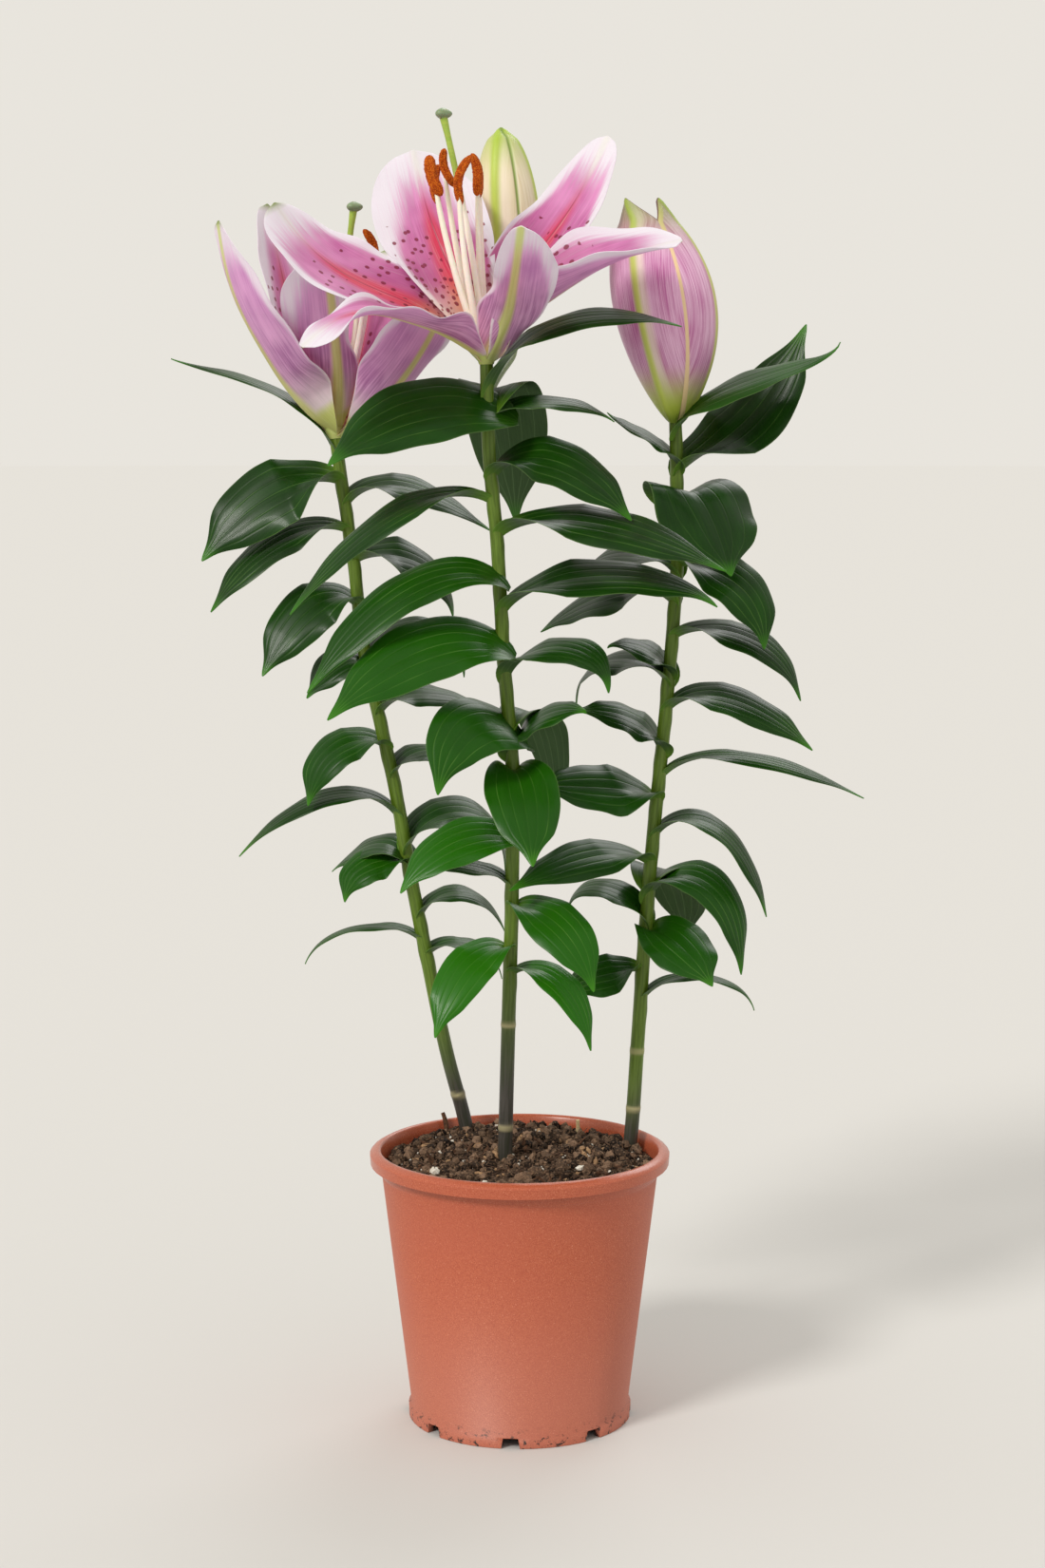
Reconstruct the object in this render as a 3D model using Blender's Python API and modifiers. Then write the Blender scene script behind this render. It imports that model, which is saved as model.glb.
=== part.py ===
"""A potted stargazer lily: three leafy stems with an open bloom, a half-open bloom, a pink bud and a green
bud, standing in a moulded plastic pot of peat compost.

The scene is in metres, +Z up. The origin is on the floor under the middle of the pot, and -Y is the front.
All sizes below are in millimetres and all angles in degrees. An azimuth is 0 towards +X, 90 towards the
back and 270 towards the front.
"""

import math

import bmesh
import bpy
import numpy as np

MM = 0.001
GAP = 0.3
WELD = 0.01

# Pot: a 165 mm injection-moulded nursery pot
POT_HEIGHT = 146.5
RIM_RADIUS = 80.5
MOUTH_RADIUS = 75.2
RIM_SKIRT = 6.0
RIM_SLOPE = 1.6
WALL = 1.3
WALL_TOP_RADIUS = 74.8
WALL_BASE_RADIUS = 58.6
FOOT_RADIUS = 60.2
FOOT_HEIGHT = 6.0
FOOT_RING = 3.4
BASE_PLATE = 2.0
NOTCHES = 8
NOTCH_FIRST = -94.6
NOTCH_WIDTH = 10.0
NOTCH_TOP_WIDTH = 8.0
DRAIN_RADIUS = 4.5
DRAIN_CIRCLE = 44.0
POT_SIDES = 56

# Soil: peat compost, 8 mm below the rim at the wall and heaped round the stems
SOIL_LEVEL = 137.5
SOIL_HEAP = 5.5
SOIL_ROUGHNESS = 1.3
SOIL_SIDES = 36
SOIL_RINGS = 6

# Stems: points up the middle of each, (x, y, z), from under the soil to the neck of the flower
STEM_FOOT_RADIUS = 3.9
STEM_NECK_RADIUS = 3.4
STEM_STEP = 22.0
STEMS = {
    "centre": (
        (-9, -6, 85), (-8, -9, 138), (-6, -11, 215), (-4, -13, 290), (-4, -15, 357),
        (-8, -16, 407), (-12, -18, 476), (-16, -19, 520), (-17, -20, 562),
    ),
    "left": (
        (-20, 46, 85), (-30, 50, 147), (-40, 50, 186), (-51, 50, 240), (-60, 50, 287),
        (-68, 49, 334), (-76, 49, 371), (-84, 49, 407), (-90, 49, 459), (-95, 49, 494), (-99, 49, 524),
    ),
    "right": (
        (52, 20, 85), (60, 24, 140), (64, 25, 197), (68, 26, 260), (72, 27, 311),
        (77, 28, 363), (81, 29, 409), (84, 31, 455), (84, 33, 495), (83, 34, 532),
    ),
}
# The green bud's stalk leaves the centre stem below the open bloom
STALK_RADIUS = 2.4
STALK = ((-17, -19, 540), (-15, -4, 551), (-9, 24, 561), (-4, 48, 568), (-3, 58, 575), (-3, 61, 583))

# Leaves: height of the base up the stem, azimuth, reach from the stem, height of the tip over the base,
# arch of the midrib, width, roll (positive lifts the left edge, looking out from the stem), and hook, the
# share of the reach at which the blade bends down to its tip
BLADE = 0.8
LEAF_CELLS = (5, 2)
LONG_LEAF = 60
LONG_LEAF_CELLS = (7, 2)
LEAVES = {
    "centre": (
        (541, -8, 100, 40, 30, 22, 25, 0.65),
        (532, 75, 56, -52, 22, 46, 0, 0.7),
        (538, 205, 88, -27, 2, 44, -46, 0.6),
        (527, 8, 66, 6, 16, 24, 20, 0.7),
        (501, -15, 74, -18, 15, 36, 40, 0.6),
        (472, -18, 122, -14, 12, 34, 32, 0.5),
        (431, -12, 113, 8, 22, 34, 32, 0.8),
        (396, -35, 64, 0, 22, 28, 25, 1.0),
        (356, -30, 44, 28, 24, 34, 28, 1.0),
        (370, 62, 51, -46, 14, 30, 6, 1.05),
        (490, 190, 106, -55, 8, 24, -28, 0.55),
        (448, 200, 104, -52, 11, 30, -34, 0.55),
        (413, 212, 104, -29, 10, 40, -42, 0.55),
        (367, 232, 60, -22, 15, 40, -42, 0.85),
        (350, 280, 60, -40, 3, 40, 0, 0.5),
        (314, 205, 64, -23, 7, 32, -32, 0.65),
        (287, 165, 50, 10, 12, 18, -15, 0.9),
        (277, -45, 60, -35, 4, 32, 25, 0.75),
        (254, 225, 55, -37, 5, 28, -28, 0.7),
        (240, -30, 49, -33, 9, 22, 20, 0.85),
    ),
    "left": (
        (505, 172, 93, 62, 34, 18, -12, 0.75),
        (499, 190, 76, -40, 4, 44, -56, 0.55),
        (473, 195, 76, -41, 5, 28, -32, 0.6),
        (430, 205, 56, -32, 11, 34, -44, 0.55),
        (393, 200, 36, -8, 14, 28, -30, 0.5),
        (486, 12, 80, -12, 14, 30, 28, 0.5),
        (456, 15, 55, -29, 7, 34, 35, 0.95),
        (398, 5, 52, -3, 24, 28, 25, 1.05),
        (373, 10, 58, 6, 12, 30, 18, 0.5),
        (354, 200, 45, -27, 9, 30, -32, 0.9),
        (313, 185, 89, -15, 20, 20, -20, 0.6),
        (339, 15, 44, 11, 14, 26, 18, 0.5),
        (297, 20, 57, -11, 24, 34, 28, 1.05),
        (291, 195, 36, -18, 5, 28, -34, 1.0),
        (286, 160, 47, 0, 17, 28, -20, 0.5),
        (246, 180, 66, -9, 13, 16, -5, 0.85),
        (260, 8, 47, -6, 17, 22, 14, 0.8),
        (240, 12, 42, -13, 9, 22, 14, 0.9),
    ),
    "right": (
        (508, -26, 92, 66, 36, 28, 22, 0.95),
        (503, 14, 72, 82, 12, 42, 45, 0.6),
        (504, 190, 38, 34, 18, 26, -20, 0.7),
        (484, -50, 48, -29, 12, 52, 0, 0.5),
        (457, -30, 52, -43, 0, 36, 30, 1.0),
        (416, -15, 70, -30, 9, 28, 24, 0.85),
        (376, -15, 80, -16, 13, 30, 28, 0.55),
        (340, -5, 110, -7, 16, 17, 20, 0.5),
        (306, -10, 62, -37, 18, 24, 16, 0.8),
        (273, -20, 53, -34, 21, 30, 26, 1.0),
        (281, 60, 46, -34, 12, 40, 0, 1.0),
        (257, -50, 53, -20, 4, 40, 16, 0.5),
        (218, 0, 62, -2, 17, 16, 6, 0.9),
        (434, 165, 74, -14, 11, 42, -26, 0.5),
        (449, 155, 54, -1, 14, 36, -22, 0.95),
        (395, 185, 33, 18, 17, 30, -20, 0.95),
        (391, 150, 56, -13, 16, 38, -20, 1.05),
        (353, 195, 47, 28, 20, 36, -28, 0.7),
        (328, 211, 76, 16, 9, 38, -42, 0.6),
        (294, 218, 96, -3, 10, 30, -30, 0.55),
        (260, 160, 44, 6, 22, 28, -15, 1.05),
        (238, 190, 45, -10, 0, 30, -34, 0.55),
    ),
}

# Tepals: azimuth, length, width, elevation at the base, in the middle and at the tip, roll, and cup, the
# angle by which each side bends up at the base
TEPAL = 0.9
TEPAL_CELLS = (7, 4)
RECEPTACLE_HEIGHT = 6.0
RECEPTACLE_RADIUS = 5.6
TEPALS = {
    "centre": (
        (117, 142, 70, 75, 48, 40, 0, 42),
        (186, 138, 48, 66, 14, 46, -42, 35),
        (221, 131, 54, 36, 4, -36, 0, 75),
        (282, 104, 42, 62, 28, 42, 0, 45),
        (-8, 120, 58, 40, 33, 12, 18, 80),
        (44, 146, 42, 66, 46, 52, 12, 35),
    ),
    "left": (
        (206, 132, 46, 38, 60, 80, 0, 50),
        (130, 134, 42, 52, 70, 80, 0, 40),
        (268, 92, 38, 56, 66, 62, 0, 50),
        (325, 94, 48, 46, 44, 30, 0, 50),
        (5, 90, 44, 46, 48, 38, 0, 40),
        (65, 116, 50, 56, 66, 56, 0, 40),
    ),
}

# The pistil's tip and the middle of each anther, from the neck of the flower, and the anther's lean
STIGMA_RADIUS = 4.3
FILAMENT_RADIUS = 0.9
ANTHER_LENGTH = 21.0
ANTHER_RADIUS = 2.5
ANTHER_BEND = 3.0
PISTILS = {"centre": (-22, 0, 124), "left": (11, -8, 120)}
ANTHERS = {
    "centre": (
        (-28, -6, 93, 12), (-24, 10, 98, -14), (-13, -9, 91, 5),
        (-5, 4, 97, -10), (-33, 4, 86, 25), (-12, 14, 90, 30),
    ),
    "left": (
        (20, 6, 108, 10), (2, -16, 86, -12), (-4, 0, 88, 8),
        (2, 13, 90, 20), (18, -10, 88, -20), (12, 15, 84, 15),
    ),
}

# Buds: the foot and the tip of the middle line, and the greatest radius
GREEN_BUD = ((-3, 61.2, 583.4), (-10, 66, 690), 16.0)
PINK_BUD = ((83, 34, 532.4), (68, 33, 648), 28.0)


def unit(vector):
    """The vector at length 1."""
    return vector / np.linalg.norm(vector, axis=-1, keepdims=True)


def smooth_path(points, heights):
    """Places on the smooth curve through the points, at these heights: a cubic between each two points."""
    points = np.array(points, float)
    z = points[:, 2]
    slope = np.gradient(points, z, axis=0)
    i = np.clip(np.searchsorted(z, heights) - 1, 0, len(z) - 2)
    span = (z[i + 1] - z[i])[:, None]
    s = (np.asarray(heights)[:, None] - z[i][:, None]) / span
    return (
        points[i] * (1 + 2 * s) * (1 - s) ** 2
        + slope[i] * span * s * (1 - s) ** 2
        + points[i + 1] * s**2 * (3 - 2 * s)
        - slope[i + 1] * span * s**2 * (1 - s)
    )


def along_path(path, t):
    """Places and directions at shares t of a path's length."""
    run = np.concatenate([[0], np.cumsum(np.linalg.norm(np.diff(path, axis=0), axis=1))])
    run /= run[-1]
    heading = unit(np.gradient(path, run, axis=0))
    place = np.stack([np.interp(t, run, path[:, k]) for k in range(3)], -1)
    heading = np.stack([np.interp(t, run, heading[:, k]) for k in range(3)], -1)
    return place, unit(heading)


def blade_frame(path, t, azimuth, roll):
    """Places on a path, and the blade's sideways and upward directions there, turned by the roll."""
    place, heading = along_path(path, t)
    a = math.radians(azimuth)
    left = np.array([-math.sin(a), math.cos(a), 0.0])
    side = unit(left - (heading @ left)[:, None] * heading)
    up = np.cross(heading, side)
    turn = np.radians(roll) * np.clip(t / 0.35, 0, 1) ** 1.5
    turn = turn[:, None]
    return place, side * np.cos(turn) + up * np.sin(turn), up * np.cos(turn) - side * np.sin(turn)


def leaf_path(foot, azimuth, reach, tip, arch, hook):
    """A leaf's midrib: a cubic curve that rises steeply from the stem, arches, and bends down to the tip."""
    t = np.linspace(0, 1, 60)
    a = math.radians(azimuth)
    out = np.array([math.cos(a), math.sin(a), 0.0])
    run = reach * (0.36 * t * (1 - t) ** 2 + 3 * hook * t**2 * (1 - t) + t**3)
    lift = 4 * arch * t * (1 - t) + tip * t**3
    return foot + run[:, None] * out + lift[:, None] * [0, 0, 1]


def leaf_blade(foot, leaf):
    """The leaf's surface over (along, across): pointed, widest at the middle, folded where it clasps the
    stem, and with edges that turn down further out."""
    _, azimuth, reach, tip, arch, width, roll, hook = leaf
    path = leaf_path(np.array(foot), azimuth, reach, tip, arch, hook)

    def surface(t, u):
        place, side, up = blade_frame(path, t, azimuth, roll)
        outline = 2.82 * t**0.7 * (1 - t) ** 0.8
        half = width / 2 * np.hypot(outline, 0.16 * (1 - t) ** 3) + 0.5 * t**4
        fold = np.radians(44) * (1 - t) ** 5 + np.radians(8)
        crown = 0.22 * np.clip(t / 0.4, 0, 1)
        rise = half * (np.abs(u) * np.sin(fold) - crown * u**2)
        return place + (half * u * np.cos(fold))[:, None] * side + rise[:, None] * up

    return surface


def tepal_path(foot, azimuth, length, lift, spread, tip):
    """A tepal's midrib: its elevation turns smoothly from the base's to the middle's and to the tip's."""
    t = np.linspace(0, 1, 80)
    near = np.clip(t / 0.45, 0, 1)
    far = np.clip((t - 0.45) / 0.55, 0, 1)
    near = near**2 * (3 - 2 * near)
    far = far**2 * (3 - 2 * far)
    e = np.radians(lift + (spread - lift) * near + (tip - spread) * far)
    a = math.radians(azimuth)
    step = np.stack([np.cos(e) * math.cos(a), np.cos(e) * math.sin(a), np.sin(e)], -1) * length / 79
    return foot + np.cumsum(step, axis=0) - step[0]


def tepal_blade(foot, tepal):
    """The tepal's surface over (along, across): a channelled claw, a broad blade with ruffled edges that
    turn back towards the end, and a short point. Across, it is an arc that turns by the bend on each side."""
    azimuth, length, width, lift, spread, tip, roll, cup = tepal
    path = tepal_path(np.array(foot), azimuth, length, lift, spread, tip)

    def surface(t, u):
        place, side, up = blade_frame(path, t, azimuth, roll)
        outline = 2.32 * t**0.75 * (1 - t) ** 0.5
        half = width / 2 * np.hypot(outline, 0.13 * (1 - t) ** 2) + 0.6 * t**4
        bend = np.radians(cup) * np.sqrt(1 - t) * np.clip(5 * t, 0, 1) - 0.3 * np.clip((t - 0.45) / 0.5, 0, 1)
        ruffle = 0.22 * width * t * (1 - t) * u**3 * np.sin(9 * t + math.radians(azimuth))
        reach = half * u * np.sinc(bend * u / np.pi)
        rise = half * u * np.sin(bend * u / 2) * np.sinc(bend * u / (2 * np.pi)) + ruffle * np.abs(u)
        return place + reach[:, None] * side + rise[:, None] * up

    return surface


# Blender objects


def clear_scene():
    """An empty scene, with a collection for the lily and one for the shapes that cut it."""
    for thing in list(bpy.data.objects):
        bpy.data.objects.remove(thing)
    collections = []
    for name in ("Potted stargazer lily", "Cutters"):
        collection = bpy.data.collections.new(name)
        bpy.context.scene.collection.children.link(collection)
        collections.append(collection)
    return collections


def material(name, colour, roughness):
    """A plain Principled material: linear colour, not metallic."""
    made = bpy.data.materials.new(name)
    made.use_nodes = True
    shader = made.node_tree.nodes["Principled BSDF"]
    shader.inputs["Base Color"].default_value = (*colour, 1)
    shader.inputs["Roughness"].default_value = roughness
    shader.inputs["Metallic"].default_value = 0
    made.diffuse_color = (*colour, 1)
    return made


def add_object(name, mesh, collection, surface=None):
    """A mesh as a named object in a collection."""
    thing = bpy.data.objects.new(name, mesh)
    if surface is not None:
        mesh.materials.append(surface)
    collection.objects.link(thing)
    return thing


def finished(thing):
    """The object with its modifiers applied and its loose seams welded."""
    graph = bpy.context.evaluated_depsgraph_get()
    mesh = bpy.data.meshes.new_from_object(thing.evaluated_get(graph), depsgraph=graph)
    bm = bmesh.new()
    bm.from_mesh(mesh)
    bmesh.ops.remove_doubles(bm, verts=bm.verts, dist=1e-6)
    bm.to_mesh(mesh)
    bm.free()
    copy = add_object(thing.name, mesh, thing.users_collection[0])
    copy.matrix_world = thing.matrix_world
    name = thing.name
    bpy.data.objects.remove(thing)
    copy.name = name
    return copy


def shade_smooth(thing, angle=40):
    """Smooth shading, with edges over the angle kept sharp."""
    thing.data.shade_smooth()
    thing.data.set_sharp_from_angle(angle=math.radians(angle))


def blade(name, surface, cells, thickness, collection, finish):
    """A thin solid leaf or tepal: a grid moved onto the surface, split into triangles and thickened."""
    bm = bmesh.new()
    bmesh.ops.create_grid(bm, x_segments=cells[0], y_segments=cells[1], size=1)
    flat = np.array([vert.co for vert in bm.verts])
    for vert, place in zip(bm.verts, surface((flat[:, 0] + 1) / 2, flat[:, 1])):
        vert.co = place * MM
    bmesh.ops.triangulate(bm, faces=bm.faces)
    mesh = bpy.data.meshes.new(name)
    bm.to_mesh(mesh)
    bm.free()
    thing = add_object(name, mesh, collection, finish)
    solidify = thing.modifiers.new("Thickness", "SOLIDIFY")
    solidify.thickness = thickness * MM
    solidify.offset = 0
    return thing


def tube(name, points, radii, collection, finish, sides=8):
    """A round rod along points, as a mesh: a curve with a bevel, a radius at each point and filled caps."""
    curve = bpy.data.curves.new(name, "CURVE")
    curve.dimensions = "3D"
    curve.bevel_depth = MM
    curve.bevel_resolution = sides // 2 - 2
    curve.use_fill_caps = True
    spline = curve.splines.new("POLY")
    spline.points.add(len(points) - 1)
    for place, point, radius in zip(spline.points, points, radii):
        place.co = (*(np.array(point) * MM), 1)
        place.radius = radius
    thing = add_object(name, curve, collection)
    curve.materials.append(finish)
    return finished(thing)


def turned(name, profile, steps, collection, finish):
    """A solid of revolution about the pot's axis, from (radius, height) points down its outer side."""
    mesh = bpy.data.meshes.new(name)
    points = [(radius * MM, 0, height * MM) for radius, height in profile]
    mesh.from_pydata(points, [(i, i + 1) for i in range(len(points) - 1)], [])
    thing = add_object(name, mesh, collection, finish)
    screw = thing.modifiers.new("Turn", "SCREW")
    screw.steps = screw.render_steps = steps
    screw.use_merge_vertices = True
    screw.merge_threshold = 1e-6
    return thing


def fuse(name, pieces, collection):
    """One solid from overlapping ones: a Boolean union of the first with a collection of the rest."""
    rest = bpy.data.collections.new(name + " pieces")
    bpy.context.scene.collection.children.link(rest)
    first = pieces[0]
    for piece in pieces[1:]:
        piece = finished(piece)
        collection.objects.unlink(piece)
        rest.objects.link(piece)
    union = first.modifiers.new("Fuse", "BOOLEAN")
    union.operation = "UNION"
    union.operand_type = "COLLECTION"
    union.collection = rest
    union.solver = "MANIFOLD"
    whole = finished(first)
    for piece in list(rest.objects):
        bpy.data.objects.remove(piece)
    bpy.data.collections.remove(rest)
    drop_specks(whole.data)
    whole.name = name
    shade_smooth(whole)
    return whole


def drop_specks(mesh):
    """Welds the slivers that a union leaves and drops any speck that it seals inside."""
    bm = bmesh.new()
    bm.from_mesh(mesh)
    bmesh.ops.remove_doubles(bm, verts=bm.verts, dist=WELD * MM)
    bmesh.ops.dissolve_degenerate(bm, edges=bm.edges, dist=WELD * MM)
    waiting = set(bm.verts)
    largest = set()
    while waiting:
        island = set()
        reached = [waiting.pop()]
        while reached:
            vert = reached.pop()
            island.add(vert)
            beside = {edge.other_vert(vert) for edge in vert.link_edges} & waiting
            waiting -= beside
            reached.extend(beside)
        largest = max(largest, island, key=len)
    bmesh.ops.delete(bm, geom=[vert for vert in bm.verts if vert not in largest], context="VERTS")
    bm.to_mesh(mesh)
    bm.free()


def cut(thing, cutter):
    """A Boolean cut, with the cutter left out of the render."""
    cutter.hide_render = True
    cutter.display_type = "WIRE"
    difference = thing.modifiers.new("Cut " + cutter.name, "BOOLEAN")
    difference.operation = "DIFFERENCE"
    difference.object = cutter


def primitive_cutter(name, add, place, turn, collection, **sizes):
    """A mesh primitive at its place, moved to the cutters' collection with its scale applied."""
    add(location=[v * MM for v in place], rotation=(0, 0, math.radians(turn)), **sizes)
    cutter = bpy.context.object
    cutter.name = name
    for holder in list(cutter.users_collection):
        holder.objects.unlink(cutter)
    collection.objects.link(cutter)
    return cutter


def make_pot(collection, cutters, finish):
    """The pot: a tapered thin wall with a sloping rim and skirt, on a notched foot ring with drain holes."""
    plate = FOOT_HEIGHT
    slope = (WALL_TOP_RADIUS - WALL_BASE_RADIUS) / (POT_HEIGHT - RIM_SKIRT - plate)
    skirt_top = POT_HEIGHT - RIM_SLOPE
    profile = [
        (0, plate + BASE_PLATE),
        (WALL_BASE_RADIUS - WALL + slope * BASE_PLATE, plate + BASE_PLATE),
        (WALL_TOP_RADIUS - WALL, POT_HEIGHT - RIM_SKIRT),
        (MOUTH_RADIUS - 0.8, POT_HEIGHT - 1.2),
        (MOUTH_RADIUS, POT_HEIGHT),
        (MOUTH_RADIUS + 1.6, POT_HEIGHT),
        (RIM_RADIUS - 0.7, skirt_top),
        (RIM_RADIUS, skirt_top - 0.9),
        (RIM_RADIUS - 0.4, skirt_top - RIM_SKIRT),
        (RIM_RADIUS - 1.6, skirt_top - RIM_SKIRT),
        (RIM_RADIUS - 1.9, POT_HEIGHT - 4.2),
        (WALL_TOP_RADIUS, POT_HEIGHT - RIM_SKIRT - 1.0),
        (WALL_BASE_RADIUS, plate + 0.8),
        (FOOT_RADIUS, plate),
        (FOOT_RADIUS - 0.2, 0),
        (FOOT_RADIUS - FOOT_RING, 0),
        (FOOT_RADIUS - FOOT_RING - 0.3, plate),
        (0, plate),
    ]
    pot = turned("pot", profile, POT_SIDES, collection, finish)
    for i in range(NOTCHES):
        turn = NOTCH_FIRST + i * 360 / NOTCHES
        a = math.radians(turn)
        notch = primitive_cutter(
            f"notch {i}", bpy.ops.mesh.primitive_cube_add,
            (FOOT_RADIUS * math.cos(a), FOOT_RADIUS * math.sin(a), 0), turn, cutters, size=MM,
        )
        for vert in notch.data.vertices:
            width = NOTCH_TOP_WIDTH if vert.co.z > 0 else 2 * NOTCH_WIDTH - NOTCH_TOP_WIDTH
            vert.co.x *= 12
            vert.co.y *= width
            vert.co.z *= 2 * (FOOT_HEIGHT - 0.5)
        cut(pot, notch)
        hole = primitive_cutter(
            f"drain {i}", bpy.ops.mesh.primitive_cylinder_add,
            (DRAIN_CIRCLE * math.cos(a), DRAIN_CIRCLE * math.sin(a), plate + 1), turn, cutters,
            vertices=12, radius=DRAIN_RADIUS * MM, depth=8 * MM,
        )
        cut(pot, hole)
    pot = finished(pot)
    shade_smooth(pot, 30)
    return pot


def soil_height(x, y):
    """The compost's surface: level at the wall, heaped towards the stems, and lumpy."""
    heap = SOIL_HEAP * np.exp(-(((x - 4) / 44) ** 2) - ((y - 22) / 40) ** 2)
    lumps = np.sin(0.23 * x + 1.1) * np.cos(0.27 * y - 0.4) + 0.6 * np.sin(0.51 * x - 0.37 * y)
    return SOIL_LEVEL + heap + SOIL_ROUGHNESS * lumps


def make_soil(collection, cutters, finish):
    """The compost: it fills the pot to just under the rim, with a plain hole for each stem."""
    slope = (WALL_TOP_RADIUS - WALL_BASE_RADIUS) / (POT_HEIGHT - RIM_SKIRT - FOOT_HEIGHT)
    inner = WALL_BASE_RADIUS - WALL - GAP
    floor = FOOT_HEIGHT + BASE_PLATE + GAP
    edge = inner + slope * (SOIL_LEVEL - FOOT_HEIGHT) - GAP
    rings = [(edge * i / SOIL_RINGS, SOIL_LEVEL) for i in range(SOIL_RINGS + 1)]
    foot = inner + slope * (floor - FOOT_HEIGHT) - GAP
    soil = finished(turned("soil", [*rings, (foot, floor), (0, floor)], SOIL_SIDES, collection, finish))
    for vert in soil.data.vertices:
        x, y, z = (v / MM for v in vert.co)
        if z > SOIL_LEVEL - 1:
            near_wall = min(1.0, (edge - math.hypot(x, y)) / 8)
            vert.co.z = (SOIL_LEVEL + (soil_height(x, y) - SOIL_LEVEL) * near_wall) * MM
    for name, points in STEMS.items():
        path = [p for p in stem_points(points) if p[2] < 175]
        path[0] = path[0] - [0, 0, 2 * GAP]
        hole = tube(
            name + " stem hole", path, [STEM_FOOT_RADIUS + 2 * GAP] * len(path), cutters, finish, 12
        )
        cut(soil, hole)
    soil = finished(soil)
    shade_smooth(soil, 60)
    return soil


def stem_points(points):
    """Points up a stem, from its smooth curve, a fixed step apart."""
    foot, neck = points[0][2], points[-1][2]
    heights = np.linspace(foot, neck, round((neck - foot) / STEM_STEP) + 1)
    return smooth_path(points, heights)


def make_leafy_stem(name, collection, finish):
    """A stem with its leaves, and on the centre stem the green bud's stalk, fused into one solid."""
    path = stem_points(STEMS[name])
    radii = np.linspace(STEM_FOOT_RADIUS, STEM_NECK_RADIUS, len(path))
    pieces = [tube(name + " stem", path, radii, collection, finish)]
    if name == "centre":
        pieces.append(tube("bud stalk", STALK, [STALK_RADIUS] * len(STALK), collection, finish))
    for i, leaf in enumerate(LEAVES[name]):
        foot = smooth_path(STEMS[name], [leaf[0]])[0]
        cells = LONG_LEAF_CELLS if leaf[2] > LONG_LEAF else LEAF_CELLS
        pieces.append(blade(f"{name} leaf {i}", leaf_blade(foot, leaf), cells, BLADE, collection, finish))
    return fuse(name + "_leafy_stem", pieces, collection)


def neck(name):
    """The top of a stem and the stem's direction there."""
    top, below = np.array(STEMS[name][-1], float), np.array(STEMS[name][-2], float)
    return top, unit(top - below)


def make_tepals(name, collection, finish):
    """The six tepals of a bloom, fused to the small receptacle that stands on the stem's neck."""
    top, heading = neck(name)
    foot = top + heading * GAP
    ends = [foot, foot + heading * RECEPTACLE_HEIGHT]
    radii = [STEM_NECK_RADIUS + 0.4, RECEPTACLE_RADIUS]
    pieces = [tube(name + " receptacle", ends, radii, collection, finish, 12)]
    for i, tepal in enumerate(TEPALS[name]):
        a = math.radians(tepal[0])
        root = foot + heading * 1.5 + np.array([math.cos(a), math.sin(a), 0]) * 2.2
        surface = tepal_blade(root, tepal)
        pieces.append(blade(f"{name} tepal {i}", surface, TEPAL_CELLS, TEPAL, collection, finish))
    return fuse(name + "_bloom_tepals", pieces, collection)


def bent_rod(start, end, bulge, count):
    """Points from start to end on a shallow bow that leans out by bulge."""
    t = np.linspace(0, 1, count)[:, None]
    return start + (end - start) * t + np.asarray(bulge) * 4 * t * (1 - t)


def anther_middle(name, anther):
    """The middle of an anther, and the level direction to it from the bloom's middle line."""
    top, heading = neck(name)
    middle = top + np.array(anther[:3], float)
    line = top + heading * (middle[2] - top[2]) / heading[2]
    return middle, unit((middle - line) * [1, 1, 0])


def round_primitive(name, collection, finish, segments, rings):
    """A unit ball as a mesh object in the collection."""
    bpy.ops.mesh.primitive_uv_sphere_add(segments=segments, ring_count=rings, radius=1)
    ball = bpy.context.object
    for holder in list(ball.users_collection):
        holder.objects.unlink(ball)
    collection.objects.link(ball)
    ball.name = name
    ball.data.name = name
    ball.data.materials.append(finish)
    return ball


def make_pistil(name, collection, finish):
    """The ovary, style and three-lobed stigma, with the six filaments, on one small disc."""
    top, heading = neck(name)
    floor = top + heading * (RECEPTACLE_HEIGHT + 2 * GAP)
    pieces = [tube(name + " disc", [floor, floor + heading * 2], [2.8, 2.8], collection, finish)]
    stigma = top + np.array(PISTILS[name])
    style = bent_rod(floor + heading, stigma, unit((stigma - floor) * [1, 1, 0]) * -4, 6)
    pieces.append(tube(name + " style", style, [2.5, 2.3, 1.8, 1.6, 1.6, 1.9], collection, finish, 6))
    knob = round_primitive(name + " stigma", collection, finish, 12, 6)
    for vert in knob.data.vertices:
        lobes = 1 + 0.14 * math.cos(3 * math.atan2(vert.co.y, vert.co.x))
        x, y, z = vert.co * STIGMA_RADIUS
        vert.co = (stigma + np.array([x * lobes, y * lobes, z * 0.6])) * MM
    pieces.append(knob)
    for i, anther in enumerate(ANTHERS[name]):
        middle, out = anther_middle(name, anther)
        end = middle - out * (ANTHER_RADIUS + GAP + FILAMENT_RADIUS)
        rod = bent_rod(floor + heading + out * 1.5, end, out * 3, 5)
        radii = [FILAMENT_RADIUS + 0.3, *[FILAMENT_RADIUS] * 3, FILAMENT_RADIUS - 0.2]
        pieces.append(tube(f"{name} filament {i}", rod, radii, collection, finish, 4))
    return fuse(name + "_bloom_pistil", pieces, collection)


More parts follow.
